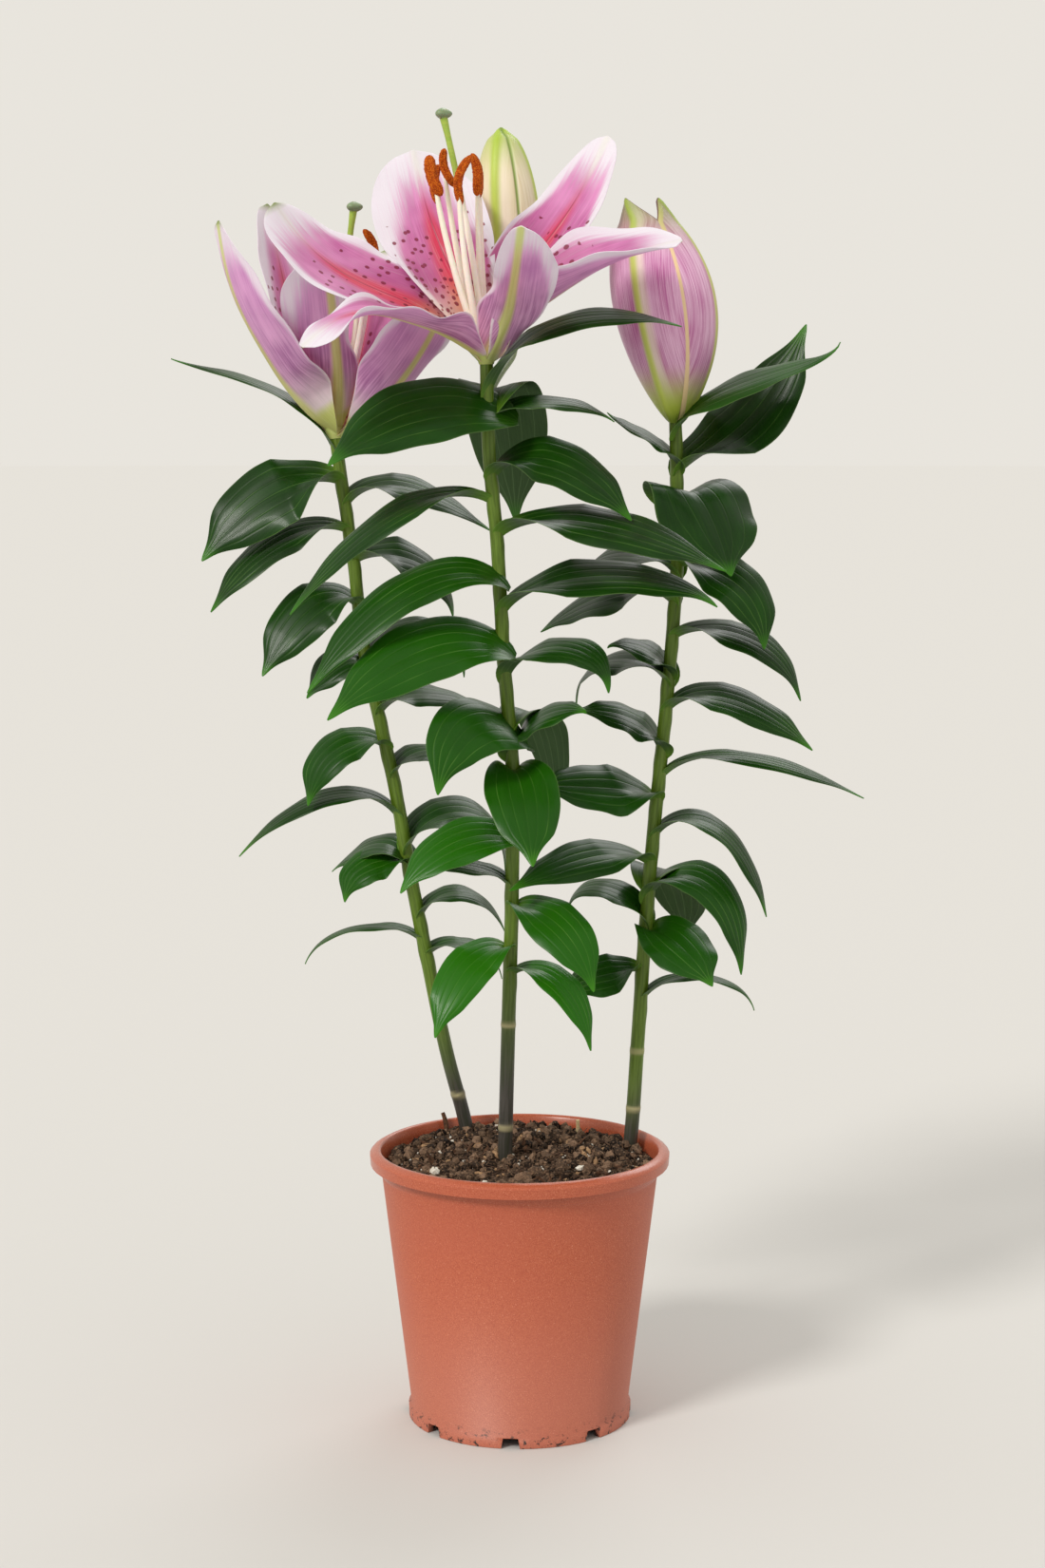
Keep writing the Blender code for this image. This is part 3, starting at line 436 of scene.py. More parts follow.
class Mesh:
    """Patches of points and faces gathered into one piece, each patch with its own attributes."""

    def __init__(self):
        self.points, self.faces, self.marks, self.count = [], [], {}, 0

    def add(self, points, *faces, **marks):
        """Adds a patch: its points, arrays of its faces, and a number or an array for each attribute."""
        for group in faces:
            self.faces.extend((group + self.count).tolist())
        self.points.append(points)
        for name, value in marks.items():
            shape = (len(points), *np.shape(value)[1:])
            self.marks.setdefault(name, []).append(np.broadcast_to(value, shape))
        self.count += len(points)

    def blade(self, middle, thickness, flat, **marks):
        """Adds a thin closed shell round a grid of places. Flat's three parts and the other attributes are
        numbers or grids, the same on both sides or, as a pair, one for each side."""

        def sides(value):
            pair = value if isinstance(value, tuple) else (value, value)
            return np.concatenate([np.broadcast_to(side, middle.shape[:2]).ravel() for side in pair])

        marks = {name: sides(value) for name, value in marks.items()}
        self.add(*shell(middle, thickness), flat=np.stack([sides(row) for row in flat], -1), **marks)

    def rod(self, path, radii, sides, squash=None, **marks):
        """Adds a closed round rod. Its attributes are numbers, or one number for each ring, and where it
        has any, its flat is its places."""
        points, *faces = tube(path, radii, sides, squash)
        for name, value in marks.items():
            if np.ndim(value):
                marks[name] = np.concatenate([np.repeat(value, sides), [value[0], value[-1]]])
        self.add(points, *faces, **({"flat": points, **marks} if marks else {}))

    def piece(self, name, material, slot, *nodes, sharp=40):
        """Makes the object: smooth, with edges over an angle kept sharp, and riding in place of its nodes."""
        mesh = bpy.data.meshes.new(name)
        mesh.from_pydata(np.concatenate(self.points) * MM, [], self.faces)
        for mark, values in self.marks.items():
            values = np.concatenate(values).astype(np.float32)
            kind, field = ("FLOAT_VECTOR", "vector") if values.ndim == 2 else ("FLOAT", "value")
            mesh.attributes.new(mark, kind, "POINT").data.foreach_set(field, values.ravel())
        mesh.shade_smooth()
        mesh.set_sharp_from_angle(angle=math.radians(sharp))
        mesh.materials.append(material)
        thing = new_object(name, mesh)
        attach(thing, "root")
        if nodes:
            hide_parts(*nodes)


# Materials

# How a kind of node is set up unless a call says otherwise: the inputs that values given in order go to, the
# output that is read, and its settings
USUAL = {
    "Mix": {"sockets": (0, 6, 7), "output": 2, "data_type": "RGBA"},
    "MapRange": {"interpolation_type": "SMOOTHSTEP"},
    "Mapping": {"sockets": (0, 3)},
    "TexNoise": {"sockets": (0, 2, 3, 4)},
}
SIZE = {"operation": "ABSOLUTE"}
PLUS = {"operation": "ADD"}
MINUS = {"operation": "SUBTRACT"}
TIMES = {"operation": "MULTIPLY"}
TIMES_PLUS = {"operation": "MULTIPLY_ADD"}


def colour(code):
    """An sRGB hex code as a linear colour."""
    parts = [int(code[i : i + 2], 16) / 255 for i in (0, 2, 4)]
    return (*[c / 12.92 if c <= 0.04045 else ((c + 0.055) / 1.055) ** 2.4 for c in parts], 1.0)


def add_node(tree, kind, inputs=(), **settings):
    """Adds a node with its settings, puts a number, a hex colour or a link on its inputs, which are given in
    order or by name, and returns one of its outputs."""
    settings = {"sockets": range(9), "output": 0, **USUAL.get(kind, {}), **settings}
    sockets, output = settings.pop("sockets"), settings.pop("output")
    node = tree.nodes.new("ShaderNode" + kind)
    for name, value in settings.items():
        setattr(node, name, value)
    for name, value in inputs.items() if isinstance(inputs, dict) else zip(sockets, inputs):
        if isinstance(value, bpy.types.NodeSocket):
            tree.links.new(value, node.inputs[name])
        else:
            node.inputs[name].default_value = colour(value) if isinstance(value, str) else value
    return node.outputs[output] if node.outputs else None


def new_material(name, *marks):
    """An empty material, the function that adds a node to it, and a node for each attribute: flat, the place
    on the unrolled surface in millimetres, is a vector and the others are numbers. A pattern's scale on flat
    is one over its size in millimetres, along the piece and across it."""
    material = bpy.data.materials.new(name)
    material.use_nodes = True
    material.node_tree.nodes.clear()
    add = functools.partial(add_node, material.node_tree)
    outputs = ["Vector" if mark == "flat" else "Fac" for mark in marks]
    return material, add, *[add("Attribute", output=o, attribute_name=m) for o, m in zip(outputs, marks)]


def leaf_material():
    """Lily leaf, waxed: deep green and glossy above with thin pale veins, greyer and duller below."""
    material, add, flat, across, along, half, tone, top = new_material(
        "lily leaf, waxed", "flat", "across", "along", "half", "tone", "top"
    )
    # Five veins a leaf, 0.6 mm wide, that run together at both ends and are plain only in places
    turn = add("Math", (across, 3.0), **TIMES)
    off = add("Math", (add("Math", (turn, add("Math", (turn,), operation="ROUND")), **MINUS),), **SIZE)
    apart = add("Math", (off, add("Math", (half, 0.333), **TIMES)), **TIMES)
    vein = add("MapRange", (apart, 0.04, 0.34, 1.0, 0.0))
    groove = add("MapRange", (apart, 0.0, 0.9, 0.0, 1.0))
    patch = add("TexNoise", (add("Mapping", (flat, (0.035, 0.08, 0.3))), 1.0, 2.0))
    grain = add("TexNoise", (add("Mapping", (flat, (0.06, 1.1, 0.3))), 1.0, 4.0))
    seen = add("MapRange", (patch, 0.4, 0.7, 0.06, 0.42))
    above = add("Mix", (add("MapRange", (patch, 0.32, 0.7)), "081E02", "113502"))
    above = add("Mix", (tone, above, "266C03"))
    above = add("Mix", (add("MapRange", (grain, 0.4, 0.8, 0.0, 0.16)), above, "335C14"))
    above = add("Mix", (add("Math", (vein, seen), **TIMES), above, "6E9A44"))
    below = add("Mix", (grain, "39512F", "4E6A40"))
    below = add("Mix", (add("Math", (vein, 0.35), **TIMES), below, "7D9A69"))
    skin = add("Mix", (top, below, above))
    edge = add("MapRange", (add("Math", (across,), **SIZE), 0.96, 1.0, 0.0, 0.3))
    base = add("MapRange", (along, 0.0, 0.15, 0.8, 0.0))
    tip = add("MapRange", (along, 0.86, 1.0, 0.0, 0.6))
    for share, tint in (edge, "6F8E50"), (base, "6E9A2C"), (tip, "3F8A10"):
        skin = add("Mix", (share, skin, tint))
    # The wax is thin: 0.30 to 0.38 rough above, and 0.22 more below
    dull = add("Math", (grain, 0.2, 0.24), **TIMES_PLUS)
    dull = add("Math", (dull, add("Math", (top, -0.22, 0.22), **TIMES_PLUS)), **PLUS)
    relief = add("Math", (grain, 0.3, groove), **TIMES_PLUS)
    surface = add("BsdfPrincipled", {
        "Base Color": skin, "Roughness": dull, "Specular IOR Level": 0.2, "Coat Weight": 0.05,
        "Coat Roughness": 0.1,
        "Normal": add("Bump", {"Height": relief, "Distance": 0.14 * MM, "Strength": 0.7}),
    })
    glow = add("BsdfTranslucent", (add("Mix", (tone, "2C6A05", "6EBA10")),))
    add("OutputMaterial", (add("MixShader", (0.14, surface, glow)),))
    return material


def stem_material():
    """Lily stem, smooth skin: green with fine fibres, and dark and corky towards the soil."""
    material, add, flat, dark, scar = new_material("lily stem, smooth skin", "flat", "dark", "scar")
    fibres = add("TexNoise", (add("Mapping", (flat, (0.06, 0.9, 0.9))), 1.0, 5.0))
    streak = add("MapRange", (fibres, 0.3, 0.7))
    brown = add("Mix", (streak, "2C2A27", "47443E"))
    spread = add("Math", (dark, add("Math", (fibres, 0.5, -0.25), **TIMES_PLUS)), use_clamp=True, **PLUS)
    skin = add("Mix", (spread, add("Mix", (streak, "4E6616", "688428")), brown))
    skin = add("Mix", (scar, skin, "C6BB8E"))
    bump = add("Bump", {"Height": fibres, "Distance": 0.25 * MM, "Strength": 0.6})
    inputs = {"Base Color": skin, "Roughness": 0.4, "Specular IOR Level": 0.35, "Normal": bump}
    add("OutputMaterial", (add("BsdfPrincipled", inputs),))
    return material


def tepal_material():
    """Lily tepal, satin: white edges, pink blade, crimson middle and raised dark spots inside; mauve with a
    yellow-green rib outside."""
    material, add, flat, inside, band, white, throat, spotty, line, along, nub, base, rib = new_material(
        "lily tepal, satin", "flat", "inside", "band", "white", "throat", "spotty", "line", "along", "nub",
        "base", "rib",
    )
    across = add("Math", (add("SeparateXYZ", (flat,), output=1),), **SIZE)
    veins = add("TexNoise", (add("Mapping", (flat, (0.02, 0.8, 0.4))), 1.0, 4.0, 0.65))
    cloud = add("TexNoise", (add("Mapping", (flat, (0.04, 0.08, 0.4))), 1.0, 2.0))
    feather = add("Math", (veins, 0.7, add("Math", (cloud, 0.5), **TIMES)), **TIMES_PLUS)
    deep = add("MapRange", (feather, 0.42, 0.8))
    paler = add("Math", (add("Math", (veins, 1.5, white), **TIMES_PLUS), 0.75), **MINUS)
    # Spots: dark raised papillae 2 to 3 mm long, one at most in a cell of 6.7 by 5 mm, and finer ones in the
    # throat
    fine = add("Math", (throat, 0.7), **TIMES)
    freckles = []
    for scale, large, share in ((0.15, 0.2, 1.0), 0.24, spotty), ((0.28, 0.36, 1.0), 0.26, fine):
        cells = {"Vector": add("Mapping", (flat, scale)), "Scale": 1.0}
        near = add("TexVoronoi", cells, voronoi_dimensions="2D")
        chance = add("TexVoronoi", cells, output=1, voronoi_dimensions="2D")
        kept = add("Math", (add("SeparateColor", (chance,)), share), operation="LESS_THAN")
        freckles.append(add("Math", (add("MapRange", (near, 0.16, large, 1.0, 0.0)), kept), **TIMES))
    # Inside: pink, crimson along the middle with a dark furrow, feathered out to white at the edges
    flush = add("Math", (veins, 0.6, band), **TIMES_PLUS)
    furrow = add("MapRange", (across, 0.1, 0.7, 0.7, 0.0))
    heart = add("Mix", (add("MapRange", (along, 0.16, 0.42)), "E98468", "E23A62"))
    floor = add("Mix", (add("Math", (band, 0.8), **TIMES), "F7E2D2", "EC9C7C"))
    pink = add("Mix", (deep, "EDA3D6", "CB5AA6"))
    for share, tint in (
        # Painted shade: a deeper rose over the lower half of the blade
        (add("MapRange", (along, 0.25, 0.78, 0.74, 0.0)), "BC4486"),
        (add("MapRange", (flush, 0.32, 1.15)), heart),
        (add("Math", (furrow, line), **TIMES), "A81E4C"),
        (add("MapRange", (paler, -0.1, 1.0)), "F5F2FA"),
        (add("Math", (throat, 0.8), **TIMES), floor),
        (add("Math", (freckles[0], 0.88), **TIMES), "8E143C"),
        (add("Math", (freckles[1], 0.75), **TIMES), "A62A34"),
    ):
        pink = add("Mix", (share, pink, tint))
    # Outside: mauve with fine lengthwise veins, a whitish base and edges, and a yellow-green rib and foot
    width = add("MapRange", (along, 0.0, 0.6, 0.4, 1.0), interpolation_type="LINEAR")
    width = add("Math", (add("Math", (across, rib), **TIMES), width), **TIMES)
    ridge = add("MapRange", (width, 0.28, 0.92, 0.9, 0.0))
    ridge = add("Math", (ridge, add("MapRange", (base, 0.86, 1.0))), operation="MAXIMUM")
    mauve = add("Mix", (add("MapRange", (along, 0.2, 0.7)), "A04E96", "D292CE"))
    mauve = add("Mix", (deep, "F2BEEA", mauve))
    for share, tint in (
        (add("MapRange", (paler, 0.1, 1.1)), "F4EAF4"),
        (add("Math", (base, 0.95), **TIMES), "FAF4F4"),
        (ridge, add("Mix", (veins, "EDF0AE", "C6D852"))),
    ):
        mauve = add("Mix", (share, mauve, tint))
    skin = add("Mix", (inside, mauve, pink))
    skin = add("Mix", (nub, skin, "93A850"))
    raised = add("Math", (add("Math", (freckles[0], freckles[1]), **PLUS), inside), **TIMES)
    relief = add("Math", (veins, 0.5, raised), **TIMES_PLUS)
    surface = add("BsdfPrincipled", {
        "Base Color": skin, "Roughness": 0.45, "Specular IOR Level": 0.4, "Sheen Weight": 0.1,
        "Normal": add("Bump", {"Height": relief, "Distance": 0.45 * MM, "Strength": 0.8}),
    })
    add("OutputMaterial", (add("MixShader", (0.34, surface, add("BsdfTranslucent", (skin,)))),))
    return material


def pistil_material():
    """Style and filaments, fleshy: smooth and pale, green towards the stigma, cream in the throat."""
    material, add, flat, green, knob = new_material("style and filaments, fleshy", "flat", "green", "knob")
    streak = add("TexNoise", (add("Mapping", (flat, (0.05, 0.5, 0.5))), 1.0, 3.0))
    skin = add("Mix", (streak, "FFFBF2", "F6F2DC"))
    for share, pale, dark in (green, "B4C658", "86AB34"), (knob, "8FA37C", "6B805C"):
        skin = add("Mix", (share, skin, add("Mix", (streak, pale, dark))))
    surface = add("BsdfPrincipled", {
        "Base Color": skin, "Roughness": 0.38, "Subsurface Weight": 0.2, "Subsurface Scale": 2 * MM,
    })
    add("OutputMaterial", (surface,))
    return material


def pollen_material():
    """Pollen, dry grains: rust orange and fully matt."""
    material, add = new_material("pollen, dry grains")
    place = add("TexCoord", output="Object")
    grains = add("TexVoronoi", {"Vector": place, "Scale": 1 / (0.7 * MM)})
    patch = add("TexNoise", (place, 1 / (3 * MM), 3.0))
    skin = add("Mix", (add("MapRange", (grains, 0.1, 0.7)), "E07A1C", "A8430C"))
    skin = add("Mix", (add("MapRange", (patch, 0.5, 0.75, 0.0, 0.6)), skin, "7A2A08"))
    bump = add("Bump", {"Height": add("Math", (1.0, grains), **MINUS), "Distance": 0.5 * MM, "Strength": 0.9})
    inputs = {"Base Color": skin, "Roughness": 0.9, "Specular IOR Level": 0.2, "Normal": bump}
    add("OutputMaterial", (add("BsdfPrincipled", inputs),))
    return material


def bud_material(name, colours, rib_width, line_width, seam_width):
    """A closed bud's skin, satin: fine lengthwise veins, a coloured rib, pale edges and dark seams. Its
    colours are those of its sides, pale and deep, its rib, pale edge, seam, foot and crest."""
    pale, deep, rib_colour, edge_colour, seam_colour, foot_colour, crest_colour = colours
    material, add, flat, off, rim, near, foot, crest = new_material(
        name, "flat", "off", "rim", "near", "foot", "crest"
    )
    veins = add("TexNoise", (add("Mapping", (flat, (0.025, 1.5, 0.5))), 1.0, 5.0, 0.7))
    cloud = add("TexNoise", (add("Mapping", (flat, (0.03, 0.09, 0.5))), 1.0, 2.0))
    feather = add("Math", (veins, 0.75, add("Math", (cloud, 0.35), **TIMES)), **TIMES_PLUS)
    # The rib has a cream flank on one side, and one edge of each tepal is a pale line beside the dark seam
    flank = add("Math", (add("Math", (off, 0.8 * rib_width), **MINUS),), **SIZE)
    line = add("MapRange", (rim, line_width, 1.3 * line_width, 0.95, 0.0))
    skin = add("Mix", (add("MapRange", (feather, 0.38, 0.72)), pale, deep))
    for share, tint in (
        (add("MapRange", (flank, 0.3 * rib_width, 1.5 * rib_width, 0.7, 0.0)), "F0E4CE"),
        (foot, foot_colour),
        (add("Math", (line, near), **TIMES), edge_colour),
        (add("MapRange", (add("Math", (off,), **SIZE), 0.1 * rib_width, rib_width, 0.92, 0.0)), rib_colour),
        (add("Math", (crest, 0.75), **TIMES), crest_colour),
        (add("MapRange", (rim, 0.3 * seam_width, seam_width, 0.9, 0.0)), seam_colour),
    ):
        skin = add("Mix", (share, skin, tint))
    surface = add("BsdfPrincipled", {
        "Base Color": skin, "Roughness": 0.38, "Specular IOR Level": 0.4, "Sheen Weight": 0.1,
        "Normal": add("Bump", {"Height": veins, "Distance": 0.35 * MM, "Strength": 0.8}),
    })
    add("OutputMaterial", (surface,))
    return material


def plastic_material():
    """Polypropylene, injection moulded: terracotta, matt and finely speckled, paler and a little dirty low
    down."""
    material, add = new_material("polypropylene, moulded matt")
    place = add("TexCoord", output="Object")
    height = add("SeparateXYZ", (place,), output=2)
    speck = add("TexNoise", (place, 1 / (0.55 * MM), 2.0))
    cloud = add("TexNoise", (place, 1 / (60 * MM), 3.0))
    dirt = add("TexNoise", (place, 1 / (3.2 * MM), 6.0, 0.7))
    foot = add("MapRange", (height, 4 * MM, 12 * MM, 1.0, 0.0))
    lip = add("MapRange", (height, 129 * MM, 134 * MM))
    skin = add("Mix", (add("MapRange", (speck, 0.35, 0.62)), "A54B31", "B86040"))
    # The lower wall is painted paler: partly a haze of dust and partly a painted sheen where the light from
    # the left falls on it. Wet compost has left specks along the foot and a few on the lip
    for share, tint in (
        (add("MapRange", (speck, 0.64, 0.74, 0.0, 0.5)), "DDA088"),
        (add("MapRange", (cloud, 0.4, 0.7, 0.0, 0.3)), "B05842"),
        # Paler towards the foot: dust and a painted sheen
        (add("MapRange", (height, 10 * MM, 105 * MM, 0.28, 0.0)), "B87E6E"),
        (add("Math", (foot, add("MapRange", (dirt, 0.56, 0.61))), **TIMES), "33201A"),
        (add("Math", (lip, add("MapRange", (dirt, 0.68, 0.72, 0.0, 0.8))), **TIMES), "40281E"),
    ):
        skin = add("Mix", (share, skin, tint))
    # The wall's spark-eroded finish is matt, and the lip is nearly polished
    rough = add("MapRange", (height, 132 * MM, 134 * MM, 0.5, 0.27))
    depth = add("MapRange", (height, 132 * MM, 134 * MM, 1.0, 0.25))
    depth = add("Math", (speck, depth), **TIMES)
    bump = add("Bump", {"Height": depth, "Distance": 0.1 * MM, "Strength": 0.6})
    add("OutputMaterial", (add("BsdfPrincipled", {"Base Color": skin, "Roughness": rough, "Normal": bump}),))
    return material


def compost_material():
    """Peat compost, moist: crumbs from near black to mid brown, with no gloss."""
    material, add, tone = new_material("peat compost, moist", "tone")
    fine = add("TexNoise", (add("TexCoord", output="Object"), 1 / (1.2 * MM), 5.0))
    skin = add("Mix", (tone, "1A130F", "8C715C"))
    skin = add("Mix", (add("MapRange", (fine, 0.5, 0.72, 0.0, 0.75)), skin, "9A7A60"))
    skin = add("Mix", (add("MapRange", (fine, 0.3, 0.45, 0.7, 0.0)), skin, "130D0A"))
    bump = add("Bump", {"Height": fine, "Distance": 1.0 * MM, "Strength": 0.9})
    inputs = {"Base Color": skin, "Roughness": 0.95, "Specular IOR Level": 0.15, "Normal": bump}
    add("OutputMaterial", (add("BsdfPrincipled", inputs),))
    return material


def matt_material(name, code):
    """A plain matt paint."""
    material, add = new_material(name)
    inputs = {"Base Color": code, "Roughness": 1.0, "Specular IOR Level": 0.0}
    add("OutputMaterial", (add("BsdfPrincipled", inputs),))
    return material


def plain_material(name, code, second, grain_mm, roughness):
    """A dry, finely mottled surface of two near colours."""
    material, add = new_material(name)
    fine = add("TexNoise", (add("TexCoord", output="Object"), 1 / (grain_mm * MM), 4.0))
    skin = add("Mix", (add("MapRange", (fine, 0.3, 0.7)), code, second))
    bump = add("Bump", {"Height": fine, "Distance": 0.3 * MM, "Strength": 0.6})
    inputs = {"Base Color": skin, "Roughness": roughness, "Specular IOR Level": 0.3, "Normal": bump}
    add("OutputMaterial", (add("BsdfPrincipled", inputs),))
    return material


# The plant


def make_leaves(name, material):
    """All the leaves of a stem, as thin closed blades."""
    mesh = Mesh()
    t, u = grid(*LEAF_GRID)
    for i, leaf in enumerate(LEAVES[name]):
        middle, half = leaf_blade(smooth_path(STEMS[name], [leaf[0]])[0], leaf, t, u)
        thickness = LEAF_THICKNESS * (1 - 0.6 * np.abs(u) ** 3) * (1 + 1.2 * hill(u, 0.08) * (1 - t))
        length = np.linalg.norm(np.diff(middle[:, LEAF_GRID[1] // 2], axis=0), axis=1).sum()
        # A base that passes in front of its stem is as green as the blade, where the others start pale
        along = np.maximum(t, 0.13 * (LOBES.get(leaf[0], 0) > 4))
        flat = t * length, half * u, 17.0 * i + leaf[0]
        mesh.blade(middle, thickness, flat, along=along, across=u, half=half, tone=leaf[8], top=(1, 0))
    mesh.piece(name + "_leaves", material, "leaf_green", name + "_leafy_stem")


def make_stem(name, material):
    """A stem: a round rod that narrows upwards, with a swelling under each leaf and a ring at each scar. It
    runs on for 2 mm into what it carries."""
    bottom, top = STEMS[name][0][2], STEMS[name][-1][2]
    z = np.linspace(bottom, top + 2, round((top - bottom) / STEM_STEP))
    radii = np.linspace(STEM_FOOT_RADIUS, STEM_NECK_RADIUS, len(z))[:, None] * np.ones((1, STEM_SIDES))
    angle = np.arange(STEM_SIDES) * 2 * np.pi / STEM_SIDES
    for leaf in LEAVES[name]:
        toward = np.clip(np.cos(angle - math.radians(leaf[1])), 0, 1) ** 2
        under = hill(z - leaf[0] + 2, 4.5)
        radii = radii + SWELLING * under[:, None] * toward
    scar = np.zeros(len(z))
    for height in SCARS[name]:
        scar = np.maximum(scar, hill(z - height, 1.1))
        radii = radii + SWELLING * hill(z - height, 1.4)[:, None]
    points, *faces = tube(smooth_path(STEMS[name], z), radii, STEM_SIDES)
    height = points[:, 2]
    dark = 1 - smooth_step(*DARK_BELOW[name], height)
    flat = np.stack([height, *(points - smooth_path(STEMS[name], height))[:, :2].T], -1)
    mesh = Mesh()
    mesh.add(points, *faces, dark=dark, scar=np.interp(height, z, scar) * 0.8, flat=flat)
    if name == "centre":
        mesh.rod(smooth_stalk(), STALK_RADIUS * np.ones(STALK_RINGS), 16, dark=0.0, scar=0.0)
    mesh.piece(name + "_stem", material, "leaf_green", name + "_leafy_stem")


def smooth_stalk():
    """The bud stalk's path: straight between its points, then rounded by averaging neighbours."""
    s, knots = np.linspace(0, 1, STALK_RINGS), np.linspace(0, 1, len(STALK))
    path = np.stack([np.interp(s, knots, row) for row in np.array(STALK, float).T], -1)
    for _ in range(12):
        path[1:-1] = (path[:-2] + path[2:] + 2 * path[1:-1]) / 4
    return path


def neck(name):
    """The top of a stem and the stem's direction there."""
    top, below = np.array(STEMS[name][-1], float), np.array(STEMS[name][-2], float)
    return top, unit(top - below)


def make_tepals(name, material):
    """The six tepals of a bloom, and the small receptacle that they grow from."""
    top, heading = neck(name)
    foot = top + heading * FIT
    mesh = Mesh()
    t, u = grid(*TEPAL_GRID)
    for i, tepal in enumerate(TEPALS[name]):
        # The three inner, broader tepals come first, third and fifth
        rise, out = TEPAL_SEATS[i % 2]
        a = math.radians(tepal[0])
        root = foot + heading * rise + np.array([math.cos(a), math.sin(a), 0]) * out
        middle, half = tepal_blade(root, tepal, t, u)
        v = np.abs(half * u)
        keel = 1.2 * hill(v, 1.6) * (1 - 0.7 * t)
        blush, pale, rib = TINTS[name][i]
        edge = pale * tepal[2] / 60 * (0.4 + 2 * smooth_step(0.35, 0.8, t))
        band = hill(v, 1.5 + 10 * blush * (1 - t)) * (1 - smooth_step(0.5, 0.94, t))
        spotty = 0.9 * smooth_step(0.1, 0.2, t) * (1 - smooth_step(0.4, 0.74, t))
        # The nub is the green tip that the left bloom's tepals have, and one of the centre bloom's
        marks = {
            "band": band * (0.4 + 0.6 * blush),
            "line": smooth_step(0.12, 0.3, t) * (1 - smooth_step(0.66, 0.86, t)),
            "white": np.maximum(
                1 - smooth_step(1.2 * edge, 6.5 * edge, half * (1 - np.abs(u))), smooth_step(0.73, 0.97, t)
            ),
            "throat": 1 - smooth_step(0.16, 0.36, t),
            "nub": smooth_step(0.975, 0.998, t) * (name == "left" or i == 1),
            "base": 1 - smooth_step(*PALE_BASE[name], t),
            "rib": 0.4 / rib + 0 * t,
            "spotty": spotty * (1 - smooth_step(0.85, 0.98, np.abs(u))) * smooth_step(1, 3, v),
            "along": t,
        }
        marks = {mark: np.clip(value, 0, 1) for mark, value in marks.items()}
        thickness = TEPAL_THICKNESS * (1 - 0.6 * np.abs(u) ** 3) + keel
        mesh.blade(middle, thickness, (t * tepal[1] + 200 * i, half * u, 0.0), inside=(1, 0), **marks)
    rings = foot + np.linspace(0, 1, 8)[:, None] * heading * RECEPTACLE_HEIGHT
    radii = np.linspace(STEM_NECK_RADIUS + 0.4, RECEPTACLE_RADIUS, 8)
    mesh.rod(rings, radii, 20, inside=0.0, **{mark: float(mark == "base") for mark in marks})
    mesh.piece(name + "_tepals", material, "tepal_pink", name + "_bloom_tepals", sharp=60)


def bent_rod(start, end, bulge, count):
    """Points from start to end on a shallow bow that leans out by bulge."""
    t = np.linspace(0, 1, count)[:, None]
    return start + (end - start) * t + np.asarray(bulge) * 4 * t * (1 - t)


def anther_middle(name, anther):
    """The middle of an anther, and the level direction to it from the bloom's middle line."""
    top, heading = neck(name)
    middle = top + np.array(anther[:3], float)
    line = top + heading * (middle[2] - top[2]) / heading[2]
    return middle, unit((middle - line) * [1, 1, 0])


def make_pistil(name, material):
    """The ovary, style and three-lobed stigma, with the six filaments, all from one spot."""
    top, heading = neck(name)
    floor = top + heading * (RECEPTACLE_HEIGHT + 2 * FIT)
    mesh = Mesh()
    stigma = top + np.array(PISTILS[name], float)
    s = np.linspace(0, 1, 60)
    radii = STYLE_RADIUS + 0.9 * hill(s - 0.12, 0.1) + 0.5 * smooth_step(0.9, 1, s)
    style = bent_rod(floor, stigma, unit((stigma - floor) * [1, 1, 0]) * -1.8, 60)
    mesh.rod(style, radii, 16, green=smooth_step(0.55, 0.8, s), knob=0.0)
    t = np.linspace(0, 1, 24)
    line = stigma + (t[:, None] - 0.45) * [0, 0, STIGMA_HEIGHT]
    bulge = STIGMA_RADIUS * np.sin(np.pi * np.clip(t, 0.02, 0.98)) ** 0.55
    mesh.rod(line, bulge, 36, lambda a: 1 + 0.13 * np.cos(3 * a), green=1.0, knob=1.0)
    s = np.linspace(0, 1, 40)
    for anther in ANTHERS[name]:
        middle, out = anther_middle(name, anther)
        rod = bent_rod(floor + out * 1.6, middle - out * (anther[5] - FILAMENT_SUNK), out * 3, 40)
        mesh.rod(rod, np.interp(s, *FILAMENT), 12, green=0.15 * smooth_step(0.5, 1, s), knob=0.0)
    mesh.piece(name + "_pistil", material, "pistil_green", name + "_bloom_pistil")


def make_anthers(name, material):
    """The anthers: two-lobed pods of pollen, bent like a bow over the tips of their filaments. A pod's radius
    is r (1 - |s|^5)^0.5 for s from -1 to 1 along it, with a groove down each side."""
    rng = np.random.default_rng(5)
    s = np.linspace(-1, 1, 40)[:, None]
    for i, (*_, lean, bow, radius, length) in enumerate(ANTHERS[name], 1):
        middle, out = anther_middle(name, ANTHERS[name][i - 1])
        axis = np.array([-math.sin(math.radians(lean)), 0, math.cos(math.radians(lean))])
        path = middle + axis * length / 2 * s - out * ANTHER_BEND * s**2
        path = path + bow * (s**2 * (1 + 0.4 * s)) * [1, 0, 0]
        radii = (radius * np.clip(1 - np.abs(s[:, 0]) ** 5, 0.02, 1) ** 0.5)[:, None]
        radii = radii * (1 + rng.normal(0, 0.035, (40, 24)))
        mesh = Mesh()
        mesh.rod(path, radii, 24, lambda a: 1 - 0.3 * hill(np.cos(a), 0.3))
        mesh.piece(f"{name}_anther_{i}", material, "pollen", f"{name}_bloom_anther_{i}")


